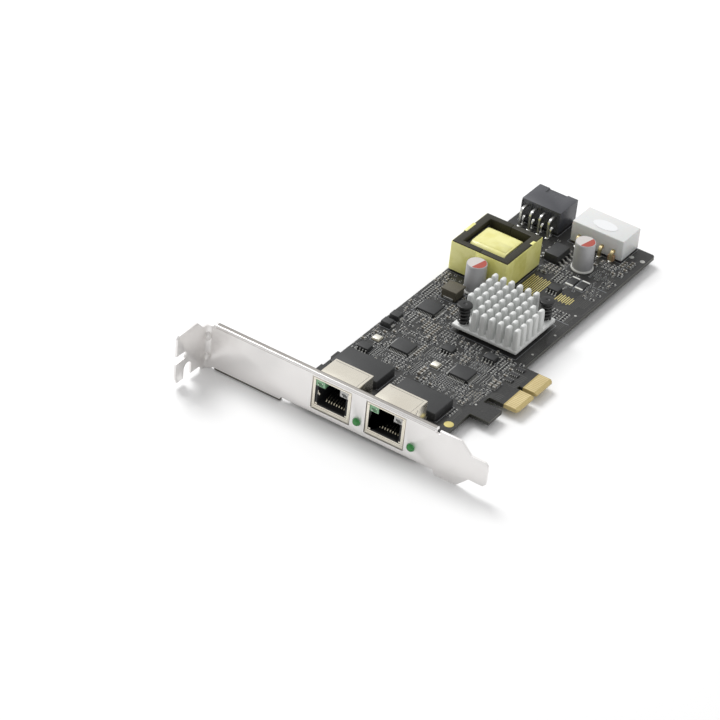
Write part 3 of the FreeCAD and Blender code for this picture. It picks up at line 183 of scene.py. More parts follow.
class Finish:
    """A material with its Principled shader; sockets go by name, underscores standing for spaces."""

    def __init__(self, name, colour, roughness, **sockets):
        self.material = bpy.data.materials.new(name)
        self.material.use_nodes = True
        self.tree = self.material.node_tree
        self.give(Base_Color=(*colour, 1.0), Roughness=roughness, **sockets)

    def give(self, **sockets):
        """Feed the shader's inputs by name; underscores stand for spaces."""
        shader = self.tree.nodes["Principled BSDF"]
        for label, value in sockets.items():
            feed(self.tree, shader.inputs[label.replace("_", " ")], value)

    def use(self, group, **inputs):
        """Place a shader group; returns its outputs."""
        return add(self.tree, "ShaderNodeGroup", {"node_tree": group}, **inputs).outputs

    def tint(self, mask, low, high, start=0.3, stop=0.7):
        """Base colour that runs from low to high with a mask."""
        self.give(Base_Color=mix_colours(self.tree, ramp(self.tree, mask, start, stop), low, high))

    def vary(self, mask, low, high):
        """Roughness that runs from low to high with a mask."""
        level = add(self.tree, "ShaderNodeMapRange", Value=mask, From_Min=0.3, From_Max=0.7,
                    To_Min=low, To_Max=high)
        self.give(Roughness=level.outputs["Result"])

    def bump(self, height, depth_mm, strength=1.0):
        """Relief of a depth in millimetres."""
        made = add(self.tree, "ShaderNodeBump", Strength=strength, Distance=depth_mm * MM, Height=height)
        self.give(Normal=made.outputs["Normal"])


def moulded(name, dark, light, roughness, grains=7.0, depth=0.012, **sockets):
    """Moulded or cast stuff: speckled, blotched a little, with a fine tooth."""
    stuff = Finish(name, light, roughness, **sockets)
    grain = stuff.use(GRAIN, Grains_per_mm=grains)
    stuff.tint(grain["Speckle"], dark, light)
    stuff.vary(grain["Blotches"], roughness - 0.06, roughness + 0.06)
    stuff.bump(grain["Speckle"], depth)
    return stuff.material


def sheet_metal(name, dark, light, roughness, metallic=1.0):
    """Plated or bare sheet: rolling lines, and smudges that change its gloss."""
    sheet = Finish(name, light, roughness, Metallic=metallic)
    rolled = sheet.use(ROLLED, Across_X=0.02)
    sheet.tint(rolled["Smudges"], dark, light)
    sheet.vary(rolled["Smudges"], roughness - 0.05, roughness + 0.05)
    sheet.bump(rolled["Lines"], 0.002)
    return sheet.material


def taped(name, dark, light, roughness):
    """Polyester tape: glossy, a little uneven where its layers pull."""
    tape = Finish(name, light, roughness, Coat_Weight=0.35, Coat_Roughness=0.12)
    grain = tape.use(GRAIN, Grains_per_mm=0.9, Blotches_per_mm=0.22)
    tape.tint(grain["Blotches"], dark, light)
    tape.vary(grain["Speckle"], roughness - 0.05, roughness + 0.1)
    tape.bump(grain["Blotches"], 0.25, 0.6)
    return tape.material


def lamp_plastic(name, deep, pale):
    """Tinted clear resin, a little milky, with paler places where light is caught inside."""
    resin = Finish(name, deep, 0.12, Transmission_Weight=0.35, IOR=1.5, Coat_Weight=0.5)
    resin.tint(resin.use(GRAIN, Grains_per_mm=0.8)["Speckle"], pale, deep, 0.2, 0.8)
    return resin.material


def board_laminate():
    """Black solder mask; layered glass at the cut edges, bare and golden along the connector."""
    board = Finish("board_solder_mask", (0.02, 0.02, 0.02), 0.38, Specular_IOR_Level=0.4)
    tree = board.tree
    grain = board.use(GRAIN, Grains_per_mm=1.3, Blotches_per_mm=0.06)
    mask = mix_colours(tree, ramp(tree, grain["Speckle"], 0.35, 0.65),
                       (0.021, 0.021, 0.021), (0.031, 0.031, 0.030))
    bare = mix_colours(tree, grain["Speckle"], (0.40, 0.31, 0.12), (0.56, 0.45, 0.20))
    facing = tree.nodes.new("ShaderNodeNewGeometry").outputs["True Normal"]
    normal, place = (add(tree, "ShaderNodeSeparateXYZ", Vector=value).outputs
                     for value in (facing, object_place(tree)))

    height = maths(tree, "MULTIPLY", place["Z"], PER_MM)
    share = maths(tree, "ADD", maths(tree, "DIVIDE", height, 2 * BOARD_TOP), 0.5)
    weave = maths(tree, "MULTIPLY", maths(tree, "SUBTRACT", grain["Speckle"], 0.5), 0.06)
    layers = add(tree, "ShaderNodeValToRGB", Fac=maths(tree, "ADD", share, weave))
    levels = ((0.0, (0.030, 0.030, 0.026)), (0.30, (0.036, 0.036, 0.030)), (0.36, (0.018, 0.018, 0.014)),
              (0.76, (0.024, 0.024, 0.019)), (0.84, (0.085, 0.085, 0.062)), (1.0, (0.070, 0.070, 0.055)))
    while len(layers.color_ramp.elements) < len(levels):
        layers.color_ramp.elements.new(0.5)
    for element, (level, colour) in zip(layers.color_ramp.elements, levels):
        element.position = level
        element.color = (*colour, 1.0)

    flat = maths(tree, "GREATER_THAN", maths(tree, "ABSOLUTE", normal["Z"]), 0.95)
    near_edge = maths(tree, "GREATER_THAN", place["X"], -TONGUE_BARE * MM)
    between = maths(tree, "LESS_THAN", maths(tree, "ABSOLUTE", place["Y"]), TONGUE_HALF * MM)
    covered = mix_colours(tree, flat, layers.outputs["Color"], mask)
    board.give(Base_Color=mix_colours(tree, maths(tree, "MULTIPLY", near_edge, between), covered, bare))
    board.vary(grain["Blotches"], 0.34, 0.44)
    board.bump(grain["Speckle"], 0.004)
    return board.material


MATERIALS = {
    "bracket_steel": sheet_metal("nickel_sheet", (0.86, 0.84, 0.825), (0.90, 0.88, 0.865), 0.33, 0.7),
    "screw_steel": sheet_metal("screw_zinc", (0.55, 0.55, 0.54), (0.68, 0.68, 0.66), 0.3),
    "board_black": board_laminate(),
    "gold": sheet_metal("contact_gold", (0.68, 0.56, 0.30), (0.78, 0.66, 0.38), 0.36),
    "shield_steel": sheet_metal("shield_sheet", (0.78, 0.73, 0.63), (0.84, 0.80, 0.70), 0.2),
    "housing_black": moulded("housing_nylon", (0.008, 0.008, 0.009), (0.014, 0.014, 0.015), 0.45),
    "header_black": moulded("header_nylon", (0.044, 0.045, 0.053), (0.064, 0.066, 0.076), 0.42),
    "contact_wire": sheet_metal("contact_wire", (0.66, 0.60, 0.46), (0.80, 0.74, 0.58), 0.25),
    "lamp_green": lamp_plastic("lamp_green", (0.28, 0.66, 0.34), (0.42, 0.78, 0.46)),
    "lamp_clear": lamp_plastic("lamp_clear", (0.74, 0.72, 0.70), (0.90, 0.88, 0.85)),
    "holder_black": moulded("holder_nylon", (0.02, 0.02, 0.02), (0.03, 0.03, 0.03), 0.5),
    "chip_black": moulded("chip_epoxy", (0.024, 0.025, 0.026), (0.040, 0.041, 0.042), 0.52, 9.0, 0.01,
                          Specular_IOR_Level=0.4),
    "lead_tin": sheet_metal("tinned_lead", (0.62, 0.62, 0.60), (0.78, 0.78, 0.76), 0.3),
    "sink_aluminium": moulded("blasted_aluminium", (0.64, 0.65, 0.64), (0.74, 0.75, 0.74), 0.6, 8.0, 0.01,
                              Metallic=0.2),
    "pad_grey": moulded("pad_silicone", (0.35, 0.37, 0.40), (0.42, 0.44, 0.47), 0.7),
    "push_pin_black": moulded("pin_nylon", (0.006, 0.006, 0.006), (0.012, 0.012, 0.012), 0.32,
                              Specular_IOR_Level=0.4),
    "spring_black": moulded("spring_oxide", (0.05, 0.05, 0.05), (0.09, 0.09, 0.09), 0.3, Metallic=0.8),
    "ferrite": moulded("ground_ferrite", (0.014, 0.013, 0.006), (0.032, 0.029, 0.016), 0.55, 3.0, 0.02,
                       Specular_IOR_Level=0.35),
    "bobbin_black": moulded("bobbin_phenolic", (0.02, 0.02, 0.02), (0.03, 0.03, 0.03), 0.5),
    "tape_yellow": taped("yellow_tape", (0.76, 0.73, 0.22), (0.86, 0.83, 0.32), 0.36),
    "can_aluminium": sheet_metal("can_aluminium", (0.40, 0.40, 0.41), (0.48, 0.48, 0.49), 0.4, 0.25),
    "seal_pale": moulded("seal_plate", (0.55, 0.55, 0.53), (0.64, 0.64, 0.62), 0.5),
    "choke_grey": moulded("pressed_powder", (0.070, 0.062, 0.042), (0.115, 0.104, 0.076), 0.6, 4.0, 0.03),
    "header_white": moulded("white_nylon", (0.66, 0.66, 0.65), (0.71, 0.71, 0.70), 0.45,
                            Subsurface_Weight=0.06),
    "disc_paper": moulded("pale_film", (0.76, 0.77, 0.78), (0.79, 0.80, 0.81), 0.5),
    "crystal_base": moulded("crystal_ceramic", (0.45, 0.42, 0.33), (0.55, 0.52, 0.42), 0.5),
    "crystal_lid": sheet_metal("crystal_lid", (0.74, 0.72, 0.64), (0.86, 0.84, 0.76), 0.35),
}
STRIP_METAL = sheet_metal("strip_metal", (0.58, 0.50, 0.17), (0.76, 0.66, 0.28), 0.36, 0.6)
SEAM_SHADE = moulded("seam_shade", (0.030, 0.028, 0.025), (0.050, 0.047, 0.042), 0.6)
WIRE_SHADE = sheet_metal("shaded_wire", (0.16, 0.15, 0.12), (0.24, 0.22, 0.18), 0.35)
LAMP_DEEP = {"green": lamp_plastic("lamp_core_green", (0.05, 0.20, 0.07), (0.10, 0.30, 0.12)),
             "clear": lamp_plastic("lamp_core_grey", (0.06, 0.06, 0.055), (0.12, 0.12, 0.11))}
LENS_GREEN = lamp_plastic("lens_green", (0.004, 0.26, 0.02), (0.012, 0.40, 0.05))
# Painted glow: a paler green ring round each round lamp's lens.
LENS_GLOW = lamp_plastic("lens_painted_glow", (0.14, 0.42, 0.18), (0.26, 0.56, 0.30))
TAPE_LAP = taped("tape_lap", (0.70, 0.67, 0.18), (0.80, 0.77, 0.26), 0.34)
TAPE_PALE = taped("winding_tape", (0.74, 0.70, 0.24), (0.81, 0.78, 0.33), 0.4)
CAN_TOP = moulded("can_top", (0.54, 0.51, 0.49), (0.60, 0.57, 0.55), 0.5, 5.0, 0.006)
CAN_STRIPE = moulded("can_stripe", (0.34, 0.045, 0.028), (0.42, 0.07, 0.045), 0.5, 5.0, 0.006)
TAN_BODY = moulded("tan_body", (0.32, 0.20, 0.11), (0.42, 0.28, 0.16), 0.5)
DULL_TIN = sheet_metal("dull_tin", (0.42, 0.42, 0.40), (0.54, 0.54, 0.52), 0.45, 0.7)
PART_TIN = sheet_metal("part_ends", (0.36, 0.36, 0.345), (0.50, 0.50, 0.48), 0.5, 0.5)
# Painted shade on the bracket: a dark strip under its rolled lower edge and along the lip's back edge, and a
# shading line on the face below the lip's bend.
RIM_DARK = sheet_metal("rim_shade", (0.10, 0.09, 0.08), (0.16, 0.15, 0.13), 0.5, 0.6)
BEND_SHADE_LINE = sheet_metal("bend_painted_shade_line", (0.40, 0.36, 0.32), (0.50, 0.46, 0.42), 0.45, 0.6)
PALE_END = moulded("pale_end", (0.62, 0.62, 0.59), (0.74, 0.74, 0.71), 0.4)
BEAD_NICKEL = sheet_metal("bead_nickel", (0.84, 0.82, 0.80), (0.90, 0.88, 0.86), 0.5, 0.3)
# Painted shade: the lip's top is drawn as a darker matt sheet, not in the bracket's own colour.
LIP_PAINTED_SHADE = sheet_metal("lip_painted_shade", (0.30, 0.28, 0.26), (0.37, 0.35, 0.325), 0.6, 0.0)
SOLDER = moulded("solder_alloy", (0.50, 0.50, 0.49), (0.66, 0.66, 0.64), 0.3, 2.0, 0.02, Metallic=0.9)
MARK_DARK = moulded("mark_floor", (0.030, 0.030, 0.031), (0.045, 0.045, 0.046), 0.4)
PART_DARK = moulded("resistor_body", (0.020, 0.020, 0.022), (0.034, 0.034, 0.036), 0.4)
PART_BROWN = moulded("capacitor_body", (0.13, 0.115, 0.095), (0.19, 0.17, 0.14), 0.5)
SILK_GREY = moulded("legend_ink", (0.23, 0.24, 0.26), (0.30, 0.31, 0.33), 0.6)
MASKED_COPPER = moulded("masked_copper", (0.040, 0.040, 0.038), (0.054, 0.054, 0.050), 0.36, 1.5, 0.004)
# Painted shade: near-black discs laid where holes go through the board.
HOLE_SHADE = moulded("hole_painted_shade", (0.006, 0.006, 0.006), (0.010, 0.010, 0.010), 0.6)
SLOT_OF = {part["node"]: part["material_slot"] for part in frame["record"]["subparts"]}
for node_name, node_object in frame["nodes"].items():
    node_object.data.materials.clear()
    node_object.data.materials.append(MATERIALS[SLOT_OF[node_name]])


# ---- building pieces ----

def spot(rise, reach, high=0.0):
    """A point over the board, in millimetres of the card's own frame."""
    return Vector((-rise, reach - BRACKET_TO_KEY, BOARD_TOP + high))


def box_of(node_name):
    """Lowest and highest corner of a CAD node, in millimetres."""
    return [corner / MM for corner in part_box(node_name)]


def pieces_of(node_name):
    """Lowest and highest corner, in millimetres, of every separate solid in a CAD node."""
    mesh = bmesh.new()
    mesh.from_mesh(frame["nodes"][node_name].data)
    bmesh.ops.remove_doubles(mesh, verts=mesh.verts, dist=SAME_PLACE)
    left = set(mesh.verts)
    boxes = []
    while left:
        heap = [left.pop()]
        found = list(heap)
        while heap:
            for edge in heap.pop().link_edges:
                for vert in edge.verts:
                    if vert in left:
                        left.remove(vert)
                        heap.append(vert)
                        found.append(vert)
        boxes.append([Vector([end(vert.co[axis] for vert in found) for axis in range(3)]) / MM
                      for end in (min, max)])
    mesh.free()
    return sorted(boxes, key=lambda box: (box[0].x, box[0].y))


def round_steps(count, shift=0.0):
    """Cosine and sine at even steps round a circle."""
    angles = [2 * math.pi * (step + shift) / count for step in range(count)]
    return [(math.cos(angle), math.sin(angle)) for angle in angles]


def set_up(mesh, name, slot, materials, bend, stands_for):
    """Shade a mesh, link it as a piece that rides on the card, and hide the CAD node it stands for."""
    for material in materials:
        mesh.materials.append(material)
    mesh.shade_smooth()
    mesh.set_sharp_from_angle(angle=math.radians(bend))
    made = bpy.data.objects.new(name, mesh)
    bpy.context.scene.collection.objects.link(made)
    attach(made, "root")
    if stands_for:
        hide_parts(stands_for)


class Pile:
    """Small solids gathered into one mesh. Sizes and places are in millimetres."""

    def __init__(self):
        self.points = []
        self.faces = []
        self.kinds = []

    def add(self, points, faces, kind=0):
        """Add one solid; kind is the place of its material in the piece's list."""
        first = len(self.points)
        self.points.extend(points)
        self.faces.extend([first + corner for corner in face] for face in faces)
        self.kinds.extend([kind] * len(faces))

    def block(self, foot, size, cut=0.05, kind=0, turn=0.0):
        """A block with cut edges that stands on a point, turned about its own upright."""
        half = [side / 2 for side in size]
        cut = min(cut, 0.45 * min(half))
        points, spots = [], {}
        for signs in itertools.product((-1, 1), repeat=3):
            for axis in range(3):
                spots[signs, axis] = len(points)
                points.append(Vector([sign * (half[i] - (0 if i == axis else cut))
                                      for i, sign in enumerate(signs)]))
        faces = [[spots[signs, axis] for axis in range(3)]
                 for signs in itertools.product((-1, 1), repeat=3)]
        around = ((-1, -1), (1, -1), (1, 1), (-1, 1))
        for axis in range(3):
            first, second = [i for i in range(3) if i != axis]

            def spot_of(along, one, other, nearest):
                signs = [0, 0, 0]
                signs[axis], signs[first], signs[second] = along, one, other
                return spots[tuple(signs), nearest]

            for along in (-1, 1):
                faces.append([spot_of(along, one, other, axis) for one, other in around])
            for one, other in around:
                faces.append([spot_of(-1, one, other, first), spot_of(1, one, other, first),
                              spot_of(1, one, other, second), spot_of(-1, one, other, second)])
        turned = Matrix.Rotation(turn, 3, "Z")
        middle = Vector(foot) + Vector((0, 0, half[2]))
        self.add([middle + turned @ point for point in points], faces, kind)

    def turned(self, foot, profile, steps=32, kind=0, stand=None):
        """A solid of revolution from (radius, height) pairs, upright unless it is given a turn."""
        points, rings = [], []
        for radius, high in profile:
            if radius < 1e-6:
                rings.append([len(points)] * steps)
                points.append(Vector((0, 0, high)))
            else:
                rings.append(list(range(len(points), len(points) + steps)))
                points += [Vector((radius * across, radius * ahead, high))
                           for across, ahead in round_steps(steps)]
        faces = []
        for low, high in zip(rings, rings[1:]):
            for step in range(steps):
                after = (step + 1) % steps
                face = list(dict.fromkeys((low[step], low[after], high[after], high[step])))
                if len(face) > 2:
                    faces.append(face)
        for ring in (rings[0], rings[-1]):
            if len(set(ring)) > 1:
                faces.append(ring)
        turn = stand or Matrix.Identity(3)
        self.add([Vector(foot) + turn @ point for point in points], faces, kind)

    def washer(self, foot, inner, outer, thick, steps, kind=0):
        """A flat ring that lies on a point, or a disc where its inner radius is 0."""
        self.turned(foot, [(inner, 0), (outer, 0), (outer, thick), (inner, thick)], steps, kind)

    def loft(self, rings, kind=0, capped=True):
        """Rings of points joined in turn, with both ends capped or the last ring joined to the first."""
        count = len(rings[0])
        last = (len(rings) - 1) * count
        faces = [list(range(count)), list(range(last, last + count))] if capped else []
        for level in range(len(rings) - capped):
            here, following = level * count, (level + 1) % len(rings) * count
            for step in range(count):
                after = (step + 1) % count
                faces.append([here + step, here + after, following + after, following + step])
        self.add([point for ring in rings for point in ring], faces, kind)

    def prism(self, outline, low, high, to_space, kind=0):
        """A flat outline raised between two levels; to_space turns (across, up, level) into a point."""
        self.loft([[to_space(across, up, level) for across, up in outline] for level in (low, high)], kind)

    def tube(self, path, radius, sides=8, kind=0):
        """A round or square wire along a path."""
        rings, across = [], Vector((1, 0, 0))
        for index, place in enumerate(path):
            ahead = (path[min(index + 1, len(path) - 1)] - path[max(index - 1, 0)]).normalized()
            across = (across - ahead * across.dot(ahead)).normalized()
            up = ahead.cross(across)
            rings.append([place + (across * cosine + up * sine) * radius
                          for cosine, sine in round_steps(sides, 0.5)])
        self.loft(rings, kind)

    def piece(self, name, slot, *materials, bend=35, stands_for=None):
        """Make the gathered solids one piece of the card, in its slot's material unless others are given."""
        mesh = bpy.data.meshes.new(name)
        mesh.from_pydata([tuple(point * MM) for point in self.points], [], self.faces)
        for polygon, kind in zip(mesh.polygons, self.kinds):
            polygon.material_index = kind
        outward = bmesh.new()
        outward.from_mesh(mesh)
        bmesh.ops.recalc_face_normals(outward, faces=outward.faces)
        outward.to_mesh(mesh)
        outward.free()
        set_up(mesh, name, slot, materials or [MATERIALS[slot]], bend, stands_for)


def skin(node_name, width, segments=2, bend=30, material=None):
    """A copy of a CAD node with softened edges, which stands for it."""
    shape = bmesh.new()
    shape.from_mesh(frame["nodes"][node_name].data)
    bmesh.ops.remove_doubles(shape, verts=shape.verts, dist=SAME_PLACE)
    bmesh.ops.dissolve_limit(shape, angle_limit=math.radians(1), verts=shape.verts, edges=shape.edges)
    sharp = [edge for edge in shape.edges
             if len(edge.link_faces) == 2 and edge.calc_face_angle() > math.radians(bend)]
    bmesh.ops.bevel(shape, geom=sharp, offset=width * MM, segments=segments, profile=0.5,
                    affect="EDGES", clamp_overlap=True)
    mesh = bpy.data.meshes.new(node_name + "_skin")
    shape.to_mesh(mesh)
    shape.free()
    slot = SLOT_OF[node_name]
    set_up(mesh, node_name + "_skin", slot, [material or MATERIALS[slot]], 40, node_name)


# ---- bracket, screws, jacks and lamps ----

def dress_bracket():
    """The bracket with softened edges, two beads pressed into the ledge's fold, and strips of painted shade
    along its rolled lower edge and its lip.
    """
    skin("bracket", 0.12)
    box_low = box_of("bracket")[0]
    face = box_low.y + LEDGE_LENGTH
    lean = Matrix.Rotation(math.radians(45), 3, "Z") @ Matrix.Rotation(math.radians(90), 3, "X")
    flatten = Matrix.Diagonal((0.62, 1.0, 1.0))
    beads = Pile()
    for high in (1.6, 10.6):
        beads.turned((box_low.x + 1.25, face - 0.4, high), [
            (0, 1.5), (0.8, 1.4), (1.5, 1.0), (1.9, 0.3), (1.9, -0.1)], 24, stand=lean @ flatten)
    beads.piece("bracket_beads", "bracket_steel", BEAD_NICKEL)

    corners = [vertex.co / MM for vertex in frame["nodes"]["bracket"].data.vertices]
    lip_top = max(corner.z for corner in corners if face + 0.8 < corner.y < face + 2.2)
    narrow_low = min(corner.z for corner in corners if abs(corner.y - face) < 0.1 and -101 < corner.x < -71)
    narrow = (-100.3, -71.3)
    lip = (box_low.x + 4.2, box_low.x + 97.8)
    rims = Pile()
    # Every strip here is painted shade. Under the narrow part a strip stands for the rolled lower edge, with
    # its underside painted dark; along the lip come a dark line at its back edge, a darker sheet over its
    # top, and a line on the face for the shading below its bend.
    for (start, end), behind, level, deep, high, bevel, kind in (
            (narrow, 1.15, box_low.z + 0.03, 1.6, narrow_low - box_low.z + 0.1, 0.1, 0),
            (lip, 1.95, lip_top - 0.12, 0.3, 0.14, 0.03, 0),
            (lip, 1.2, lip_top - 0.02, 1.25, 0.035, 0.01, 2),
            (lip, -0.01, lip_top - 1.02, 0.06, 0.14, 0.02, 1)):
        rims.block(((start + end) / 2, face + behind, level), (end - start, deep, high), bevel, kind)
    rims.piece("bracket_painted_shade_rims", "bracket_steel", RIM_DARK, BEND_SHADE_LINE, LIP_PAINTED_SHADE)


def dress_screws():
    """Pan heads with a round recess, under the board, and their shanks."""
    screws = Pile()
    for low, high in pieces_of("bracket_screws"):
        x, y = (low.x + high.x) / 2, (low.y + high.y) / 2
        screws.turned((x, y, low.z), [
            (0, 0.35), (0.45, 0.35), (0.9, 0.0), (1.6, 0.08), (2.2, 0.4), (2.5, 0.9), (2.5, 1.2), (1.25, 1.2),
            (1.25, high.z - low.z)], 36)
    screws.piece("screw_heads", "screw_steel", stands_for="bracket_screws")


def dress_jack(index):
    """Shield with its folded seams and springs, round a dark housing."""
    skin(f"jack_shield_{index}", 0.14, bend=40)
    low, high = box_of(f"jack_shield_{index}")
    middle = (low.x + high.x) / 2
    front, back = low.y, high.y
    side, top = high.x, high.z
    seams = Pile()
    flap = [(front + 1.2, top - 0.4), (front + 7.6, top - 0.4), (front + 6.4, top - 2.2),
            (front + 3.4, top - 8.6), (front + 2.2, top - 8.6), (front + 1.2, top - 5.0)]

    def on_side(across, up, level):
        return Vector((side + level, across, up))

    seams.prism(flap, -0.05, 0.09, on_side)
    for (here_y, here_z), (next_y, next_z) in zip(flap[1:], flap[2:]):
        run = Vector((next_y - here_y, next_z - here_z))
        aside = Vector((-run.y, run.x)).normalized() * 0.16
        seams.prism([(here_y - aside.x, here_z - aside.y), (next_y - aside.x, next_z - aside.y),
                     (next_y + aside.x, next_z + aside.y), (here_y + aside.x, here_z + aside.y)],
                    0.0, 0.1, on_side, 1)
    seams.block((middle, back - 1.1, top - 0.02), (14.6, 0.12, 0.03), 0.005, 1)
    seams.block((side - 1.0, (front + back) / 2, top - 0.02), (0.1, 11.0, 0.03), 0.005, 1)
    for sign in (-1, 1):
        seams.block((middle + sign * 7.25, front - 0.04, BOARD_TOP + 1.5), (0.7, 0.1, 10.9), 0.03)
    seams.block((middle, front - 0.04, BOARD_TOP + 0.3), (15.2, 0.1, 1.1), 0.03)
    seams.block((middle, front - 0.04, BOARD_TOP + 12.75), (15.2, 0.1, 0.45), 0.03)
    seams.piece(f"shield_seams_{index}", "shield_steel", MATERIALS["shield_steel"], SEAM_SHADE)

    skin(f"jack_housing_{index}", 0.1)
    guides = Pile()
    guides.block((middle - 6.35, front + 0.75, BOARD_TOP + 6.1), (1.1, 0.7, 1.9), 0.2)
    guides.block((middle - 5.95, front + 1.3, BOARD_TOP + 5.5), (0.9, 0.8, 1.2), 0.2)
    guides.block((middle + 6.75, front + 0.75, BOARD_TOP + 6.1), (0.4, 0.7, 1.9), 0.12)
    for sign in (-1, 1):
        guides.block((middle + sign * 6.4, front + 0.55, BOARD_TOP + 1.95), (1.0, 0.7, 0.7), 0.1)
    guides.piece(f"jack_springs_{index}", "shield_steel")


def dress_contacts():
    """Eight spring wires a jack: each comes forward from the rear and ends in a short bright crook."""
    count, pitch = 8, 1.1
    for index in (1, 2):
        wires = Pile()
        low, high = box_of(f"jack_shield_{index}")
        middle, front = (low.x + high.x) / 2, low.y
        for wire in range(count):
            x = middle + (wire - (count - 1) / 2) * pitch
            for radius, sides, kind, bends in (
                    (0.2, 6, 1, ((12.2, 3.4), (11.4, 4.9), (9.4, 5.2), (6.0, 4.1), (3.6, 2.9), (3.3, 2.4))),
                    (0.26, 6, 0, ((4.1, 3.2), (3.7, 3.1), (3.35, 2.85), (3.15, 2.4)))):
                wires.tube([Vector((x, front + behind, BOARD_TOP + high)) for behind, high in bends],
                           radius, sides, kind)
        for solid_low, solid_high in pieces_of(f"jack_contacts_{index}"):
            if solid_low.z < BOARD_UNDER:
                x, y = (solid_low.x + solid_high.x) / 2, (solid_low.y + solid_high.y) / 2
                wires.block((x, y, solid_low.z), (0.45, 0.45, solid_high.z - solid_low.z), 0.08)
        wires.piece(f"jack_wires_{index}", "contact_wire", MATERIALS["contact_wire"], WIRE_SHADE,
                    stands_for=f"jack_contacts_{index}")


def dress_lamps():
    """Lamps beside the plug openings, and the two round lamps that look through the bracket."""
    for kind in ("green", "clear"):
        lamps = Pile()
        for low, high in pieces_of(f"jack_lamps_{kind}"):
            middle = (low + high) / 2
            drop, face = 0.7, low.y - 0.1
            wide, tall = high.x - low.x + 0.5, high.z - low.z + drop
            foot = low.z - drop
            for x, y, z, size, bevel, part in (
                    (0, (face + high.y) / 2, foot, (wide, high.y - face, tall), 0.3, 0),
                    (0, face, foot + 0.55, (wide * 0.52, 0.12, tall * 0.42), 0.04, 1),
                    (-0.2, face - 0.02, foot + 0.5, (0.35, 0.16, 0.5), 0.05, 2),
                    (0.2, face - 0.02, low.z + 0.9, (0.35, 0.16, 0.35), 0.05, 2)):
                lamps.block((middle.x + wide * x, y, z), size, bevel, part)
        lamps.piece(f"jack_lamps_{kind}_skin", f"lamp_{kind}", MATERIALS[f"lamp_{kind}"], LAMP_DEEP[kind],
                    MATERIALS["lead_tin"], stands_for=f"jack_lamps_{kind}")
    for index in (1, 2):
        low, high = box_of(f"status_lamp_{index}")
        lens = Pile()
        forward = Matrix.Rotation(math.radians(90), 3, "X")
        foot = ((low.x + high.x) / 2, high.y, (low.z + high.z) / 2)
        length = high.y - low.y
        lens.turned(foot, [(0, 0), (1.5, 0), (1.5, length - 0.75), (1.4, length - 0.45), (1.15, length - 0.2),
                           (0.8, length - 0.06), (0.4, length - 0.01), (0, length)], 32, stand=forward)
        lens.piece(f"status_lens_{index}", "lamp_green", LENS_GREEN, stands_for=f"status_lamp_{index}")
        # A thin ring round the lens in paler green: painted glow round the lamp.
        rim = Pile()
        rim.turned(foot, [(1.5, 1.2), (1.64, 1.2), (1.66, length - 1.0), (1.5, length - 0.9)], 32,
                   stand=forward)
        rim.piece(f"status_glow_rim_{index}", "lamp_green", LENS_GLOW)
        skin(f"lamp_holder_{index}", 0.25)


# ---- heat sink ----

def dress_heat_sink():
    """A blasted plate with round-nosed fins that taper to soft tips; two corners stay clear."""
    low, high = box_of("heat_sink")
    middle = (low + high) / 2
    side, plate = 28.0, 1.6
    sink = Pile()
    sink.block((middle.x, middle.y, low.z), (side, side, plate), 0.22)
    columns, rows, clear = 8, 7, 2
    foot_wide, foot_long, nose = 2.62, 2.95, 0.75
    for column, row in itertools.product(range(columns), range(rows)):
        if (column < clear and row < clear) or (column >= columns - clear and row >= rows - clear):
            continue
        x = low.x + foot_wide / 2 + column * (side - foot_wide) / (columns - 1)
        y = low.y + foot_long / 2 + row * (side - foot_long) / (rows - 1)
        rings = []
        for rise, wide, long in ((-0.1, 1.0, 1.0), (0.4, 0.96, 1.0), (2.0, 0.92, 0.99), (6.8, 0.80, 0.95),
                                 (7.8, 0.76, 0.93), (8.2, 0.64, 0.88), (8.4, 0.42, 0.78)):
            radius = foot_wide / 2 * wide
            straight = foot_long / 2 * long - radius * nose
            level = min(low.z + plate + rise, high.z)
            rings.append([Vector((x + radius * cosine,
                                  y + math.copysign(straight, sine) + radius * nose * sine, level))
                          for cosine, sine in round_steps(12, 0.5)])
        sink.loft(rings)
    sink.piece("heat_sink_fins", "sink_aluminium", bend=50, stands_for="heat_sink")
    skin("switch_chip", 0.12)


def dress_push_pins():
    """Push pins with thin round heads, and the coils that hold the sink down."""
    for index in (1, 2):
        low, high = box_of(f"push_pin_{index}")
        x, y = (low.x + high.x) / 2, (low.y + high.y) / 2
        top = high.z - low.z
        pin = Pile()
        pin.turned((x, y, low.z), [
            (0, 0), (0.35, 0.1), (1.68, 2.2), (1.68, 2.4), (1.25, 2.42), (1.25, top - 2.6), (2.0, top - 2.4),
            (2.0, top - 1.15), (2.75, top - 1.1), (2.95, top - 0.95), (2.95, top - 0.4), (2.8, top - 0.12),
            (2.5, top - 0.03), (0.9, top), (0.7, top - 0.15), (0, top - 0.18)], 36)
        pin.block((x, y, low.z + 0.6), (0.45, 3.4, 1.7), 0.05, 1)
        pin.piece(f"push_pin_{index}_skin", "push_pin_black", MATERIALS["push_pin_black"], SEAM_SHADE,
                  stands_for=f"push_pin_{index}")
    coils = Pile()
    turns, steps, ease_steps = 4, 22, 18
    count = turns * steps
    for low, high in pieces_of("push_pin_springs"):
        middle = (low + high) / 2
        path = []
        for step in range(count + 1):
            angle = 2 * math.pi * step / steps
            ease = min(1.0, step / ease_steps, (count - step) / ease_steps)
            rise = step / count + 0.035 * (1 - ease) * (1 if step < count / 2 else -1)
            path.append(Vector((middle.x + 1.95 * math.cos(angle), middle.y + 1.95 * math.sin(angle),
                                low.z + 0.38 + rise * (high.z - low.z - 0.9))))
        coils.tube(path, 0.40, 8)
    coils.piece("push_pin_coils", "spring_black", bend=60, stands_for="push_pin_springs")


# ---- transformer, capacitors, choke ----

def round_corners(half_x, half_y, radius, steps):
    """A rectangle with round corners: across, up and angle of each point of its outline."""
    outline = []
    for corner, (sign_x, sign_y) in enumerate(((1, 1), (-1, 1), (-1, -1), (1, -1))):
        for step in range(steps):
            angle = math.pi / 2 * (corner + step / (steps - 1))
            outline.append((sign_x * (half_x - radius) + radius * math.cos(angle),
                            sign_y * (half_y - radius) + radius * math.sin(angle), angle))
    return outline


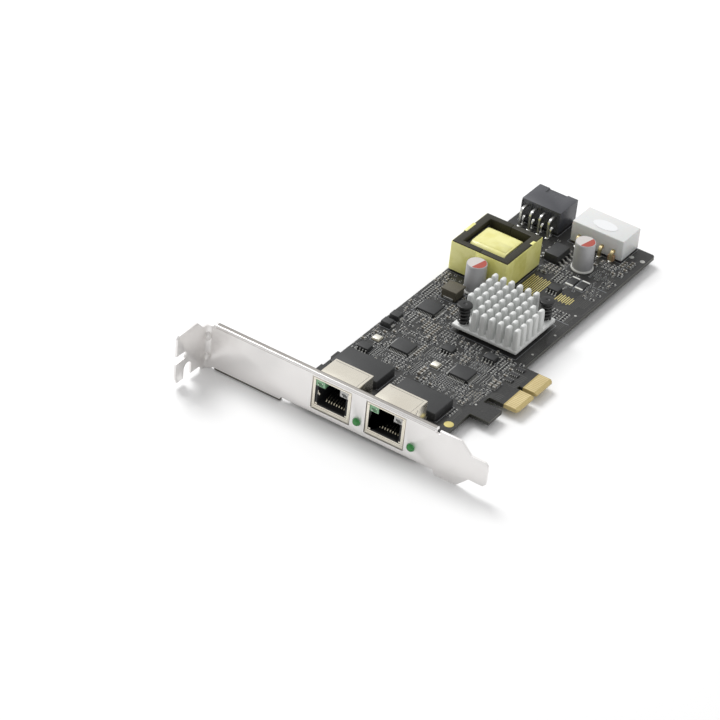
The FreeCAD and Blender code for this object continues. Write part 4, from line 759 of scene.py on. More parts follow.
def dress_transformer():
    """Ground ferrite halves, and tape that laps round them with folded tabs."""
    for index in (1, 2):
        skin(f"transformer_core_{index}", 0.3, 3)
    skin("transformer_bobbin", 0.15)
    low, high = box_of("transformer_tape")
    middle = (low + high) / 2
    half_x, half_y, tall = (high.x - low.x) / 2, (high.y - low.y) / 2, high.z - low.z
    top = box_of("transformer_core_1")[1].z
    band = Pile()
    band.loft([[Vector((middle.x + across, middle.y + ahead, level + wave * math.sin(3 * angle + 0.7)))
                for across, ahead, angle in round_corners(half_x - inset, half_y - inset, radius, 5)]
               for inset, radius, level, wave in (
                   (0.38, 0.3, low.z + 0.1, 0), (0.03, 0.55, low.z, 0.02), (0.0, 0.6, low.z + 0.3, 0),
                   (0.0, 0.6, high.z - 0.4, 0), (0.05, 0.55, high.z - 0.1, 0.06),
                   (0.36, 0.3, high.z - 0.15, 0.05))], capped=False)
    lap = 0.06
    band.block((high.x - 0.02, middle.y - 3.4, low.z + 0.15), (lap, 9.5, tall - 0.35), 0.02, 1)
    band.block((middle.x + 4.5, low.y + 0.02, low.z + 0.2), (12.0, lap, tall - 0.4), 0.02, 1)
    for edge, inward, along, wide in ((low.x, 1, -0.45, 6.8), (high.x, -1, 6.2, 2.6)):
        band.block((edge + inward * 0.62, middle.y + along, top - 0.02), (1.25, wide, 0.07), 0.03)
        band.block((edge + inward * 0.06, middle.y + along, top - 1.0), (0.1, wide, 1.0), 0.03)
    band.piece("tape_wrap", "tape_yellow", MATERIALS["tape_yellow"], TAPE_LAP, bend=45,
               stands_for="transformer_tape")


def dress_winding():
    """A crowned winding under its own pale tape, with the tape's end on top."""
    low, high = box_of("transformer_winding")
    size, centre = high - low, (low + high) / 2
    outline = round_corners(size.y / 2, size.z / 2, 3.2, 7)
    winding = Pile()
    winding.loft([[Vector((centre.x + place * size.x / 2, centre.y + across * full, centre.z + up * full))
                   for across, up, _ in outline]
                  for place, full in ((-1.0, 0.90), (-0.985, 0.965), (-0.93, 0.99), (-0.5, 1.0), (0.0, 1.0),
                                      (0.5, 1.0), (0.93, 0.99), (0.985, 0.965), (1.0, 0.90))])
    winding.block((centre.x + 1.2, centre.y - 2.6, high.z - 0.05), (size.x - 4.0, 5.2, 0.09), 0.04)
    winding.piece("winding_wrap", "tape_yellow", TAPE_PALE, bend=45, stands_for="transformer_winding")


def dress_capacitors():
    """Coated cans with a rolled rim, a coloured segment on the top and a pale ring at the foot."""
    feet = Pile()
    for index in (1, 2):
        low, high = box_of(f"capacitor_{index}")
        x, y = (low.x + high.x) / 2, (low.y + high.y) / 2
        tall = high.z - low.z
        can = Pile()
        can.turned((x, y, low.z), [
            (0, 0), (3.7, 0), (3.95, 0.2), (4.0, 0.5), (4.0, tall - 0.55), (3.93, tall - 0.25),
            (3.8, tall - 0.08), (3.65, tall - 0.05)], 48)
        can.washer((x, y, high.z - 0.2), 0, 3.65, 0.16, 48, 1)
        angles = [math.radians(-92 + 160 * step / 14) for step in range(15)]
        can.prism([(3.62 * math.cos(angle), 3.62 * math.sin(angle)) for angle in angles], high.z - 0.1,
                  high.z, lambda across, up, level: Vector((x + across, y + up, level)), 2)
        can.piece(f"capacitor_{index}_can", "can_aluminium", MATERIALS["can_aluminium"], CAN_TOP, CAN_STRIPE,
                  stands_for=f"capacitor_{index}")
        feet.turned((x, y, BOARD_TOP), [
            (0, 0), (4.15, 0), (4.42, 0.12), (4.45, 0.55), (4.2, 0.85), (3.9, 0.9)], 48)
    feet.piece("capacitor_feet", "seal_pale", stands_for="capacitor_seats")


def dress_choke():
    """A pressed-powder block under a slightly wider cap, with a plated clip at each end."""
    skin("power_choke", 0.22, 3)
    low, high = box_of("power_choke")
    clips = Pile()
    for y in (low.y + 0.2, high.y - 0.2):
        clips.block(((low.x + high.x) / 2, y, BOARD_TOP), (4.2, 0.5, 1.1), 0.1)
    clips.piece("choke_clips", "lead_tin")


# ---- headers ----

def dress_pins(node_name, name, thick, radius, slot):
    """Header pins as drawn wire: level inside the header, a soft bend, then down through the board."""
    wires = Pile()
    for low, high in pieces_of(node_name):
        x, top = (low.x + high.x) / 2, high.z - thick / 2
        back = low.y + thick / 2
        path = [Vector((x, high.y, top)), Vector((x, back + radius, top))]
        for step in range(1, 7):
            angle = math.pi / 2 * step / 6
            path.append(Vector((x, back + radius * (1 - math.sin(angle)),
                                top - radius * (1 - math.cos(angle)))))
        path.append(Vector((x, back, low.z)))
        wires.tube(path, thick / 2 * math.sqrt(2) * 0.96, 4)
        wires.block((x, high.y - 0.3, top - thick * 0.3), (thick * 0.6, 0.6, thick * 0.6), 0.1)
    wires.piece(name, slot, bend=50, stands_for=node_name)


def dress_headers():
    """Two right-angle power headers, their pins, and the pale oval on the white one."""
    skin("black_header", 0.22, 2)
    skin("white_header", 0.4, 3)
    dress_pins("black_header_pins", "black_header_wires", 0.9, 1.5, "lead_tin")
    dress_pins("white_header_pins", "white_header_wires", 1.2, 1.2, "gold")
    low, high = box_of("black_header")
    trim = Pile()
    for step in range(5):
        x = low.x + 0.35 + step * (high.x - low.x - 0.7) / 4
        trim.block((x, low.y - 0.12, low.z + 0.2), (0.6, 0.5, high.z - low.z - 0.9), 0.12)
    trim.piece("black_header_ribs", "header_black")
    low, high = box_of("white_header")
    middle = (low.x + high.x) / 2
    trim = Pile()
    for sign in (-1, 1):
        trim.block((middle + sign * 7.4, low.y + 0.05, low.z + 0.1), (1.0, 0.5, 2.1), 0.15)
    trim.block((middle + 7.6, low.y - 1.1, BOARD_TOP + 0.02), (2.6, 1.5, 2.4), 0.15, 1)
    trim.piece("white_header_ribs", "header_white", MATERIALS["header_white"], TAN_BODY)
    low, high = box_of("header_disc")
    x, y, thick = (low.x + high.x) / 2, (low.y + high.y) / 2, high.z - low.z
    oval = Pile()
    oval.turned((x, y, low.z), [(0, 0), (0.98, 0), (1.0, 0.05), (0.985, thick), (0, thick)], 64)
    for point in oval.points:
        point.x = x + (point.x - x) * (high.x - low.x) / 2
        point.y = y + (point.y - y) * (high.y - low.y) / 2
    oval.piece("header_oval", "disc_paper", stands_for="header_disc")


# ---- leads and small parts ----

def gull_lead(pile, root, outward, width, thick, reach, high, kind=0):
    """A formed lead: out of the body, down, and flat on its pad with a fillet of solder."""
    side = Vector((outward.y, -outward.x, 0))
    knee = reach * 0.32
    foot = reach * 0.52

    def to_space(across, up, level):
        return root + outward * across + Vector((0, 0, up)) + side * level

    outline = [(-0.05, high + thick), (knee, high + thick), (foot, thick), (reach, thick), (reach, 0.0),
               (foot - thick * 0.7, 0.0), (knee - thick * 0.6, high), (-0.05, high)]
    pile.prism(outline, -width / 2, width / 2, to_space, kind)
    middle = root + outward * (reach * 0.86)
    long, wide = reach * 0.72, width * 1.25
    size = (long, wide, 0.06) if abs(outward.x) > 0.5 else (wide, long, 0.06)
    pile.block(middle, size, 0.02, kind)


def leads_of(node_name, bodies):
    """Each lead of a node: where it leaves its body, which way it points, its width and reach."""
    found = []
    for low, high in pieces_of(node_name):
        middle = (low + high) / 2
        body_low, body_high = min(bodies, key=lambda body: ((body[0] + body[1]) / 2 - middle).length)
        beyond = {0: max(body_low.x - middle.x, middle.x - body_high.x),
                  1: max(body_low.y - middle.y, middle.y - body_high.y)}
        axis = max(beyond, key=beyond.get)
        sign = 1 if middle[axis] > (body_low[axis] + body_high[axis]) / 2 else -1
        outward = Vector((sign, 0, 0)) if axis == 0 else Vector((0, sign, 0))
        root = middle.copy()
        root[axis] = body_high[axis] if sign > 0 else body_low[axis]
        root.z = BOARD_TOP
        found.append((root, outward, (high - low)[1 - axis], (high - low)[axis]))
    return found


def dress_leads():
    """Gull-wing leads of the magnetics, the isolator and the small chips."""
    for node_name, body_names, name, stretch, thick, share in (
            ("magnetics_leads", ("network_magnetics_1", "network_magnetics_2"), "magnetics_wires",
             1.0, 0.2, 0.95),
            ("isolator_leads", ("isolator",), "isolator_wires", 1.0, 0.25, 0.9),
            ("small_chip_leads", ("small_chips",), "small_chip_wires", 1.12, 0.17, 0.9)):
        bodies = [box for body_name in body_names for box in pieces_of(body_name)]
        wires = Pile()
        for root, outward, width, reach in leads_of(node_name, bodies):
            gull_lead(wires, root, outward, width * share, thick, reach * stretch, 0.75)
        wires.piece(name, "lead_tin", DULL_TIN, stands_for=node_name)
    wires = Pile()
    leads, pitch = 11, 0.62
    for index in (1, 2, 3):
        low, high = box_of(f"flat_chip_{index}")
        middle = (low + high) / 2
        for sign, step in itertools.product((-1, 1), range(leads)):
            along = (step - (leads - 1) / 2) * pitch
            side = high if sign > 0 else low
            for x, y, outward in ((side.x, middle.y + along * 0.94, Vector((sign, 0, 0))),
                                  (middle.x + along, side.y, Vector((0, sign, 0)))):
                gull_lead(wires, Vector((x, y, BOARD_TOP)), outward, 0.26, 0.12, 0.98, 0.5)
    wires.piece("flat_chip_wires", "lead_tin", DULL_TIN, stands_for="flat_chip_leads")


def dress_chips():
    """Moulded bodies with softened edges and a shallow round mark at the first lead."""
    marks = Pile()
    for node_name, bevel, mark in (
            ("network_magnetics_1", 0.3, 0.65), ("network_magnetics_2", 0.3, 0.65), ("isolator", 0.12, 0.4),
            ("flat_chip_1", 0.08, 0.45), ("flat_chip_2", 0.08, 0.45), ("flat_chip_3", 0.08, 0.45),
            ("small_chips", 0.08, 0.3), ("diodes", 0.12, None), ("sense_resistors", 0.06, None),
            ("crystal_lids", 0.06, None), ("crystal_bases", 0.06, None)):
        skin(node_name, bevel)
        for low, high in pieces_of(node_name) if mark else ():
            inset = mark + 0.7
            marks.turned((low.x + inset, low.y + inset, high.z - 0.02), [
                (0, 0), (mark, 0), (mark, 0.028), (mark * 0.86, 0.024), (mark * 0.7, 0.022), (0, 0.022)], 24)
    skin("sense_resistor_caps", 0.08, material=PALE_END)
    marks.piece("pin_one_marks", "chip_black", MARK_DARK)
    clamps = Pile()
    for low, high in pieces_of("diode_terminals"):
        body = (low + high) / 2
        inward = 1 if body.x < -65 else -1
        clamps.block((body.x, body.y, BOARD_TOP), (high.x - low.x, high.y - low.y, 0.7), 0.1)
        clamps.block((body.x + inward * 0.22, body.y, BOARD_TOP + 0.6), (0.35, (high.y - low.y) * 0.8, 0.35),
                     0.06)
    clamps.piece("diode_clamps", "lead_tin", DULL_TIN, stands_for="diode_terminals")


FLAT_NODES = ("circuit_board", "bracket", "board_eyelet")
TAKEN = [(low, high) for node_name in frame["nodes"] if node_name not in FLAT_NODES
         for low, high in pieces_of(node_name) if high.z > BOARD_TOP + 0.05 and low.z < BOARD_TOP + 2.0]
BOARD_SHAPE = BVHTree.FromObject(frame["nodes"]["circuit_board"], bpy.context.evaluated_depsgraph_get())


def on_board(x, y, margin=0.35):
    """True where the board's face lies under a place and all round it."""
    for aside, ahead in ((0, 0), (-margin, 0), (margin, 0), (0, -margin), (0, margin)):
        above = Vector((x + aside, y + ahead, BOARD_TOP + 1)) * MM
        hit = BOARD_SHAPE.ray_cast(above, Vector((0, 0, -1)), 3 * MM)[0]
        if hit is None or abs(hit.z / MM - BOARD_TOP) > 0.1:
            return False
    return True


def is_free(x, y, half_x, half_y, gap=0.12):
    """True where a small part would touch neither a larger part nor one placed before it."""
    if not on_board(x, y, max(half_x, half_y) + gap):
        return False
    for low, high in TAKEN:
        if (low.x - gap < x + half_x and x - half_x < high.x + gap
                and low.y - gap < y + half_y and y - half_y < high.y + gap):
            return False
    return True


DARK, BROWN, TIN, INK = range(4)
PART_SIZES = {  # length, width, height and body of each kind of chip part
    "tiny": (1.0, 0.5, 0.35, DARK), "resistor": (1.6, 0.8, 0.45, DARK), "capacitor": (1.6, 0.8, 0.8, BROWN),
    "large": (2.0, 1.25, 1.1, BROWN), "tiny_capacitor": (1.0, 0.5, 0.5, BROWN),
}


def small_part(pile, x, y, kind, along_y):
    """A chip part with plated ends on its two pads, between two inked lines."""
    long, wide, high, body = PART_SIZES[kind]
    half = (wide / 2, long / 2) if along_y else (long / 2, wide / 2)
    if not is_free(x, y, *half):
        return
    TAKEN.append((Vector((x - half[0], y - half[1], 0)), Vector((x + half[0], y + half[1], 0))))
    line = 0.18
    for sign in (-1, 1):
        place, size = (((x + sign * (half[0] + 0.13), y), (line, long * 1.2)) if along_y
                       else ((x, y + sign * (half[1] + 0.13)), (long * 1.2, line)))
        pile.block((*place, BOARD_TOP - 0.005), (*size, SKIN), 0.004, INK)
    turn = (math.pi / 2 if along_y else 0.0) + random.uniform(-0.03, 0.03)
    cap = long * 0.24
    pile.block((x, y, BOARD_TOP + 0.03), (long - cap, wide * 0.96, high), 0.04, body, turn)
    middle, ahead = Vector((x, y, BOARD_TOP)), Vector((math.cos(turn), math.sin(turn), 0))
    for sign in (-1, 1):
        end = middle + ahead * sign * (long - cap) / 2
        pile.block(end + Vector((0, 0, 0.02)), (cap, wide, high + 0.03), 0.05, TIN, turn)
        pad = middle + ahead * sign * (long - cap * 0.4) / 2
        pile.block(pad, (cap * 1.5, wide * 1.1, 0.05), 0.02, TIN, turn)


# Groups of small parts: rise, reach, span across and along the card, kind, whether they lie along
# the card, and how far apart they stand across and along.
GROUPS = (
    (49.65, 45.0, 9.0, 8.0, "resistor", True, 1.5, 2.3),
    (29.1, 44.5, 8.6, 7.0, "tiny", False, 1.75, 1.1),
    (22.6, 44.5, 5.0, 6.6, "resistor", True, 1.5, 2.3),
    (16.4, 43.8, 5.2, 4.6, "tiny_capacitor", True, 1.1, 1.6),
    (18.0, 38.2, 3.2, 5.0, "capacitor", True, 1.5, 2.4),
    (42.0, 45.0, 3.2, 9.6, "tiny", False, 1.6, 1.0),
    (46.6, 54.2, 2.6, 8.0, "capacitor", False, 2.4, 1.4),
    (43.8, 57.0, 2.2, 5.6, "tiny", False, 1.7, 1.0),
    (53.6, 61.7, 7.8, 2.0, "resistor", True, 1.15, 2.4),
    (52.6, 58.6, 7.8, 1.2, "tiny", False, 1.5, 1.0),
    (51.4, 68.4, 6.2, 6.8, "capacitor", False, 2.3, 1.4),
    (45.2, 69.0, 4.6, 5.8, "resistor", True, 1.4, 2.4),
    (40.1, 55.5, 4.8, 2.4, "tiny", True, 1.05, 1.5),
    (34.7, 52.4, 2.6, 10.6, "resistor", False, 2.4, 1.35),
    (30.9, 60.2, 2.6, 5.0, "capacitor", True, 1.5, 2.4),
    (31.1, 68.9, 2.6, 5.0, "resistor", False, 2.4, 1.3),
    (24.9, 60.2, 6.2, 4.4, "tiny", True, 1.1, 1.7),
    (18.9, 64.4, 5.4, 10.6, "resistor", False, 2.5, 1.35),
    (19.6, 54.4, 5.2, 7.8, "tiny", False, 2.3, 0.95),
    (14.6, 54.2, 3.6, 6.2, "large", True, 1.9, 2.8),
    (66.1, 100.5, 2.8, 7.0, "capacitor", True, 1.5, 2.4),
    (64.9, 90.5, 4.2, 8.8, "resistor", False, 2.4, 1.35),
    (51.6, 81.7, 5.8, 11.2, "capacitor", False, 2.6, 1.5),
    (65.1, 80.5, 2.2, 10.6, "resistor", True, 1.4, 2.5),
    (37.6, 133.0, 6.0, 4.0, "capacitor", True, 1.6, 2.4),
    (32.4, 131.0, 4.2, 9.8, "resistor", False, 2.4, 1.4),
    (21.9, 140.0, 6.4, 5.0, "tiny", True, 1.2, 1.7),
    (21.6, 149.0, 6.4, 6.0, "resistor", True, 1.5, 2.4),
    (17.0, 151.0, 5.4, 13.6, "capacitor", False, 2.5, 1.6),
    (34.9, 139.5, 1.8, 10.0, "tiny", True, 1.1, 1.8),
    (61.4, 69.0, 4.2, 7.6, "resistor", False, 2.4, 1.3),
    (56.4, 71.0, 1.6, 2.4, "capacitor", False, 2.4, 1.4),
    (48.95, 62.8, 1.6, 3.2, "large", True, 1.9, 2.6),
    (38.9, 43.8, 3.2, 5.2, "large", False, 2.8, 1.9),
    (58.4, 44.2, 3.2, 7.6, "tiny", False, 1.6, 1.0),
    (16.2, 72.6, 3.0, 3.0, "resistor", False, 2.4, 1.3),
    (48.4, 97.0, 2.4, 8.0, "tiny", True, 1.1, 1.7),
    (66.3, 140.0, 3.0, 12.0, "resistor", True, 1.5, 2.5),
    (54.0, 140.0, 12.0, 9.0, "capacitor", True, 3.1, 3.2),
    (20.0, 108.0, 7.0, 6.0, "resistor", False, 2.6, 1.5),
    (36.5, 106.5, 8.0, 4.0, "tiny", False, 1.8, 1.2),
    (63.4, 104.0, 2.0, 2.0, "tiny", False, 1.7, 1.1),
    (42.5, 33.0, 2.6, 9.0, "resistor", True, 1.5, 2.6),
    (42.4, 22.0, 2.4, 6.0, "capacitor", True, 1.5, 2.6),
    (17.6, 30.2, 1.6, 6.0, "resistor", False, 2.4, 1.5),
)


def dress_board_parts():
    """The small chip parts in their groups, and resistor packs beside the connector."""
    parts = Pile()
    for rise, reach, wide, long, kind, along_y, step_x, step_y in GROUPS:
        columns = max(1, round(wide / step_x))
        rows = max(1, round(long / step_y))
        for column, row in itertools.product(range(columns), range(rows)):
            place = spot(rise + (column - (columns - 1) / 2) * step_x,
                         reach + (row - (rows - 1) / 2) * step_y)
            if random.random() < 0.9:
                small_part(parts, place.x, place.y, kind, along_y)
    for rise_low, rise_high, reach_low, reach_high, tries in (
            (37.0, 68.4, 38.5, 103.0, 900), (13.5, 37.0, 38.0, 72.0, 420), (14.5, 46.0, 124.0, 152.0, 160)):
        for _ in range(tries):
            place = spot(round(random.uniform(rise_low, rise_high) * 2) / 2,
                         round(random.uniform(reach_low, reach_high) * 2) / 2)
            kind = random.choice(("tiny", "tiny", "resistor", "resistor", "capacitor", "tiny_capacitor"))
            small_part(parts, place.x, place.y, kind, random.random() < 0.5)
    for reach in (60.5, 64.5, 68.5):
        foot = spot(12.3, reach)
        parts.block(foot + Vector((0, 0, 0.03)), (3.2, 1.6, 0.55), 0.06)
        for sign, step in itertools.product((-1, 1), range(4)):
            parts.block(foot + Vector(((step - 1.5) * 0.8, sign * 0.85, 0)), (0.42, 0.4, 0.5), 0.05, TIN)
    parts.piece("board_parts", "chip_black", PART_DARK, PART_BROWN, PART_TIN, SILK_GREY)


# ---- on the board's two faces ----

# Inked outlines round the larger parts: rise and reach of the middle, span across and along the card.
SILK_BOXES = (
    (56.1, 29.9, 22.0, 11.6), (29.6, 27.6, 22.0, 11.6), (52.55, 51.9, 9.9, 9.3), (27.05, 52.1, 9.9, 9.3),
    (58.65, 79.2, 9.9, 9.3), (31.55, 87.2, 28.8, 28.8), (55.55, 118.95, 26.0, 26.6), (57.05, 92.2, 8.0, 7.8),
    (57.05, 160.4, 18.4, 13.6), (31.55, 160.4, 24.0, 13.6), (41.05, 141.4, 5.2, 10.4),
    (63.05, 50.4, 4.2, 4.2), (37.55, 50.4, 4.2, 4.2), (65.25, 66.2, 4.6, 4.4), (65.25, 60.4, 4.6, 4.4),
    (27.35, 130.6, 4.0, 7.2), (23.05, 130.6, 4.0, 7.2), (39.05, 61.4, 5.8, 2.9), (24.45, 67.2, 5.8, 2.9),
    (63.35, 42.5, 5.8, 2.9), (29.75, 121.2, 5.8, 2.9),
)


LEGEND, TRACK, SHADED_HOLE, PAD = range(4)
VIA_TRIES = 460  # places drawn for vias; one in three goes below the board


def frame_lines(pile, rise, reach, wide, long, level):
    """An inked rectangle, as four thin closed strips."""
    centre, line = spot(rise, reach), 0.17
    for sign in (-1, 1):
        pile.block((centre.x, centre.y + sign * long / 2, level), (wide + line, line, SKIN), 0.004, LEGEND)
        pile.block((centre.x + sign * wide / 2, centre.y, level), (line, long + line, SKIN), 0.004, LEGEND)


def bundle(pile, rise, reach, steps, count, pitch, level):
    """Parallel tracks that turn together: steps are (rise, reach) moves from the first point."""
    width = pitch * 0.42
    first = Vector((-steps[0][0], steps[0][1])).normalized()
    for index in range(count):
        shift = (index - (count - 1) / 2) * pitch
        here = spot(rise, reach).xy + Vector((-first.y, first.x)) * shift
        path = [here]
        for up, back in steps:
            here = here + Vector((-up, back))
            if not on_board(here.x, here.y):
                break
            path.append(here)
        if not on_board(*path[0]):
            continue
        for start, end in zip(path, path[1:]):
            run, middle = end - start, (start + end) / 2
            pile.block((middle.x, middle.y, level), (run.length + width * 0.4, width, SKIN * 0.6), 0.003,
                       TRACK, math.atan2(run.y, run.x))


# Bundles of tracks: rise and reach of the first point, moves from there, number of tracks, pitch.
BUNDLES = (
    (50.0, 37.5, ((0, 3.5), (3, 3), (0, 5)), 8, 0.55),
    (24.0, 35.0, ((0, 6), (-2, 2), (0, 4)), 8, 0.55),
    (36.0, 38.0, ((0, 8), (-2, 2), (0, 12), (-2, 2), (0, 9)), 7, 0.6),
    (47.0, 72.0, ((0, 4), (-3, 3), (0, 8)), 6, 0.55),
    (15.5, 74.0, ((0, 16), (2, 2), (0, 18)), 7, 0.6),
    (11.8, 73.5, ((0, 14), (2, 2), (0, 22), (-2, 2), (0, 16)), 5, 0.65),
    (8.5, 49.0, ((2.5, 0), (2, -2), (3.5, 0)), 5, 1.0),
    (8.0, 62.0, ((3.5, 0), (2.5, 2.5), (3, 0)), 9, 1.0),
    (47.5, 90.0, ((0, 10), (-2, 2), (0, 8)), 5, 0.6),
    (36.0, 103.0, ((0, 4), (4, 4), (0, 1.5)), 8, 0.6),
    (22.0, 103.5, ((0, 9), (-3, 3), (0, 12)), 6, 0.6),
    (19.0, 124.0, ((0, 8), (-2, 2), (0, 9)), 4, 0.8),
    (50.0, 133.0, ((0, 6), (4, 4), (0, 6)), 4, 1.0),
    (60.0, 133.0, ((0, 14), (-2, 2), (0, 2)), 3, 1.2),
    (61.0, 84.5, ((0, 3), (3, 3), (0, 6)), 4, 0.6),
    (41.5, 18.0, ((0, 14), (1.5, 1.5), (0, 4)), 4, 0.6),
    (17.3, 16.0, ((0, 3.5), (-1.5, 1.5), (0, 12), (1.5, 1.5), (0, 3)), 4, 0.5),
    (68.0, 30.0, ((0, 26), (-1.0, 1.0), (0, 3)), 2, 0.6),
    (68.2, 72.0, ((0, 30),), 2, 0.6),
    (16.0, 118.0, ((0, 12),), 4, 0.7),
)


def dress_board_faces():
    """Silk outlines, tracks under the mask, vias, test pads and score lines, above and below; the holes of
    the vias and of the two mounting pads are flat discs of painted shade.
    """
    over = Pile()
    top, under = BOARD_TOP - SKIN * 0.2, BOARD_UNDER - SKIN * 0.8
    for box in SILK_BOXES:
        frame_lines(over, *box, top)
    for rise, reach in ((40.9, 72.2), (66.0, 24.5), (39.6, 21.9), (57.6, 47.2), (32.2, 47.4), (63.8, 74.6)):
        over.washer((*spot(rise, reach).xy, top), 0, 0.28, SKIN, 14, LEGEND)
    for rise, reach, steps, count, pitch in BUNDLES:
        bundle(over, rise, reach, steps, count, pitch, top)
        bundle(over, rise - 1.0, reach + 2.0, [(-up, back) for up, back in steps], count, pitch, under)
    hole, rim = 0.14, 0.3
    for index in range(VIA_TRIES):
        place = spot(random.uniform(8.5, 68.6), random.uniform(18.0, 152.0))
        level = under if index % 3 == 0 else top
        if not on_board(place.x, place.y) or (level == top and not is_free(place.x, place.y, rim, rim)):
            continue
        over.washer((*place.xy, level), hole, rim, SKIN, 10, TRACK)
        # The via's hole: a flat disc darker than the mask, painted shade.
        over.washer((*place.xy, level), 0, hole, SKIN * 0.9, 8, SHADED_HOLE)
    for rise, reach, radius in (
            (14.2, 80.0, 0.5), (14.2, 96.0, 0.5), (15.0, 112.0, 0.5), (36.0, 110.0, 0.45),
            (45.5, 76.0, 0.45), (46.0, 84.0, 0.45), (68.0, 102.0, 0.35), (13.6, 40.0, 0.45)):
        centre = spot(rise, reach)
        if on_board(centre.x, centre.y):
            for level in (top, under):
                over.washer((*centre.xy, level), 0, radius, SKIN, 20, PAD)
    for rise in (18.85, 14.0):
        centre = (*spot(rise, 160.7).xy, top)
        over.washer(centre, 0.55, 1.0, SKIN, 24, PAD)
        # The mounting hole: a flat disc of painted shade.
        over.washer(centre, 0, 0.55, SKIN * 0.9, 20, SHADED_HOLE)
    for reach in (105.0, 133.0):
        over.block((*spot(17.2, reach).xy, top), (6.8, 0.22, SKIN), 0.004, LEGEND)
    over.piece("board_faces", "board_black", SILK_GREY, MASKED_COPPER, HOLE_SHADE, DULL_TIN)


def dress_solder():
    """Cones of solder where wires come through the underside, and the trimmed wire ends."""
    solder = Pile()
    level = BOARD_UNDER
    for node_name in ("black_header_pins", "white_header_pins", "transformer_pins", "capacitor_leads",
                      "jack_contacts_1", "jack_contacts_2"):
        seen = set()
        for low, high in pieces_of(node_name):
            if low.z > level:
                continue
            x = (low.x + high.x) / 2
            thick = high.x - low.x
            y = low.y + thick / 2
            place = (round(x, 1), round(y, 1))
            if place in seen:
                continue
            seen.add(place)
            wide = thick * 0.5 + 0.55
            reach = min(1.1, level - low.z - 0.15)
            solder.turned((x, y, level), [
                (0, -reach * 0.98), (thick * 0.42, -reach), (thick * 0.62, -reach * 0.8),
                (wide * 0.72, -reach * 0.4), (wide * 0.9, -reach * 0.16), (wide, -0.02), (wide, 0.03)], 16)
            solder.turned((x, y, BOARD_TOP), [
                (wide, -0.02), (wide, 0.02), (wide * 0.8, 0.1), (thick * 0.5, 0.22)], 16)
    for index in (1, 2):
        low, high = box_of(f"jack_shield_{index}")
        for x, y in itertools.product((low.x + 0.1, high.x - 0.1), (low.y + 4.0, high.y - 3.0)):
            solder.turned((x, y, level), [
                (0, -0.75), (0.5, -0.7), (0.9, -0.3), (1.15, -0.02), (1.15, 0.03)], 16)
    solder.piece("solder_joints", "lead_tin", SOLDER)
    skin("transformer_pins", 0.08)
    skin("capacitor_leads", 0.06)


def dress_strips():
    """Bare plated strips with rounded ends."""
    strips = Pile()
    for low, high in pieces_of("bare_strips"):
        middle = (low + high) / 2
        size = high - low
        strips.block((middle.x, middle.y, low.z), (size.x, size.y - size.x * 0.4, size.z), 0.03)
        for y in (low.y + size.x * 0.5, high.y - size.x * 0.5):
            strips.turned((middle.x, y, low.z), [(0, 0), (size.x * 0.5, 0), (size.x * 0.5, size.z * 0.6),
                                                 (size.x * 0.3, size.z), (0, size.z)], 12)
    strips.piece("strip_copper", "gold", STRIP_METAL, stands_for="bare_strips")


def dress_eyelet():
    """The plated ring round the guide hole beside the bracket, and a flat dark disc of painted shade over the
    hole itself.
    """
    foot, hole = spot(14.6, 23.6), 0.87
    ring = Pile()
    ring.turned(foot, [(hole, 0), (1.8, 0), (1.8, 0.05), (1.6, 0.08), (hole, 0.08)], 36)
    # Painted shade: a flat dark disc where the guide hole goes down.
    ring.turned(foot, [(0, 0.01), (hole, 0.01), (hole, 0.03), (0, 0.03)], 28, 1)
    ring.piece("eyelet_ring", "gold", STRIP_METAL, HOLE_SHADE, stands_for="board_eyelet")


# ---- dressing the card, from the bracket to the tail ----

dress_bracket()
dress_screws()
for jack_index in (1, 2):
    dress_jack(jack_index)
dress_contacts()
dress_lamps()
dress_chips()
dress_leads()
dress_heat_sink()
dress_push_pins()
dress_transformer()
dress_winding()
dress_capacitors()
dress_choke()
dress_headers()
dress_strips()
dress_eyelet()
dress_board_parts()
dress_board_faces()
dress_solder()


# ---- camera, floor and light ----

def look_from(azimuth, elevation, roll):
    """Camera axes: azimuth 0 looks along +Y with +X to the right."""
    turn, tip, lean = (math.radians(angle) for angle in (azimuth, elevation, roll))
    back = Vector((math.sin(turn) * math.cos(tip), -math.cos(turn) * math.cos(tip), math.sin(tip)))
    right = Vector((math.cos(turn), math.sin(turn), 0))
    up = back.cross(right)
    across = right * math.cos(lean) + up * math.sin(lean)
    rising = up * math.cos(lean) - right * math.sin(lean)
    return across, rising, back


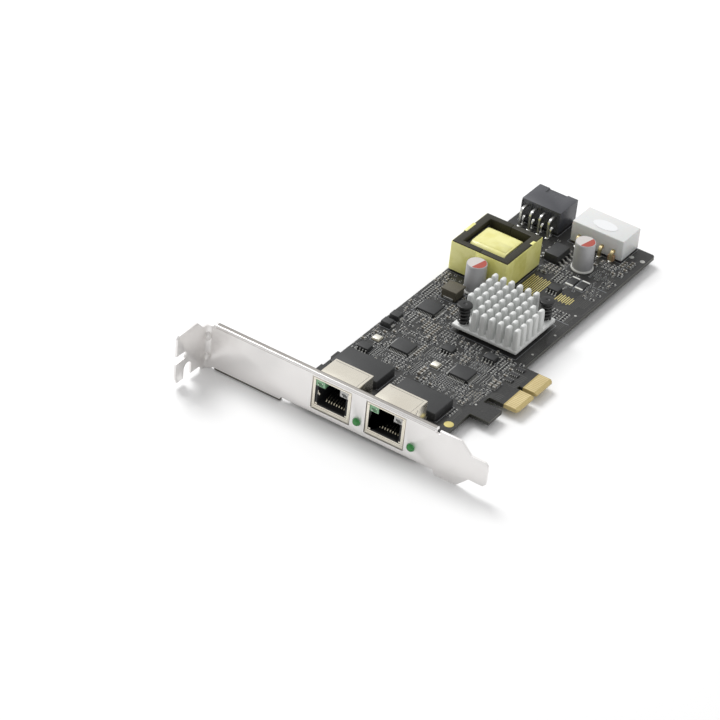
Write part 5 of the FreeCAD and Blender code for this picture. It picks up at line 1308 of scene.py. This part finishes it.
def set_camera():
    """A long lens that looks down over the corner between the bracket and the connector."""
    across, rising, back = look_from(azimuth=30.30, elevation=35.39, roll=6.28)
    target = Vector((-59.06, -26.20, 2.725)) * MM
    distance = 1186.4 * MM
    data = bpy.data.cameras.new("view")
    data.sensor_width = 36
    data.lens = 164.41
    data.clip_start = 0.05
    data.clip_end = 20
    camera = bpy.data.objects.new("view", data)
    bpy.context.scene.collection.objects.link(camera)
    turned = Matrix((across, rising, back)).transposed().to_4x4()
    camera.matrix_world = Matrix.Translation(target + back * distance) @ turned
    bpy.context.scene.camera = camera


def set_floor():
    """A pale floor that reads as white to the camera, and keeps the card's shadow."""
    half_side = 6.0
    mesh = bpy.data.meshes.new("floor")
    level = CAD_BOX[0][2]
    corners = [(x * half_side, y * half_side, level) for x, y in ((-1, -1), (1, -1), (1, 1), (-1, 1))]
    mesh.from_pydata(corners, [], [(0, 1, 2, 3)])
    mesh.materials.append(Finish("floor_paint", (0.93, 0.93, 0.93), 0.6, Specular_IOR_Level=0.2).material)
    floor = bpy.data.objects.new("floor", mesh)
    bpy.context.scene.collection.objects.link(floor)


def set_light():
    """A large soft lamp from the left, and a sky that is fullest behind the card."""
    world = bpy.data.worlds.new("studio")
    bpy.context.scene.world = world
    world.use_nodes = True
    tree = world.node_tree
    toward = add(tree, "ShaderNodeVectorMath", {"operation": "DOT_PRODUCT"})
    feed(tree, toward.inputs[0], tree.nodes.new("ShaderNodeTexCoord").outputs["Generated"])
    feed(tree, toward.inputs[1], (-0.25, 0.92, 0.30))
    level = add(tree, "ShaderNodeMapRange", Value=toward.outputs["Value"], From_Min=-0.7, From_Max=0.8,
                To_Min=0.52, To_Max=0.86)
    sky = tree.nodes["Background"]
    feed(tree, sky.inputs["Color"], (1, 1, 1, 1))
    feed(tree, sky.inputs["Strength"], level.outputs["Result"])
    place, aim = Vector((-1.05, 0.38, 1.25)), Vector((-0.05, 0.03, 0))
    data = bpy.data.lights.new("key", "AREA")
    data.shape = "DISK"
    data.size = 0.8
    data.energy = 16.5
    lamp = bpy.data.objects.new("key", data)
    bpy.context.scene.collection.objects.link(lamp)
    lamp.location = place
    lamp.rotation_euler = (aim - place).to_track_quat("-Z", "Y").to_euler()


set_camera()
set_floor()
set_light()
bpy.context.scene.view_settings.view_transform = "Standard"
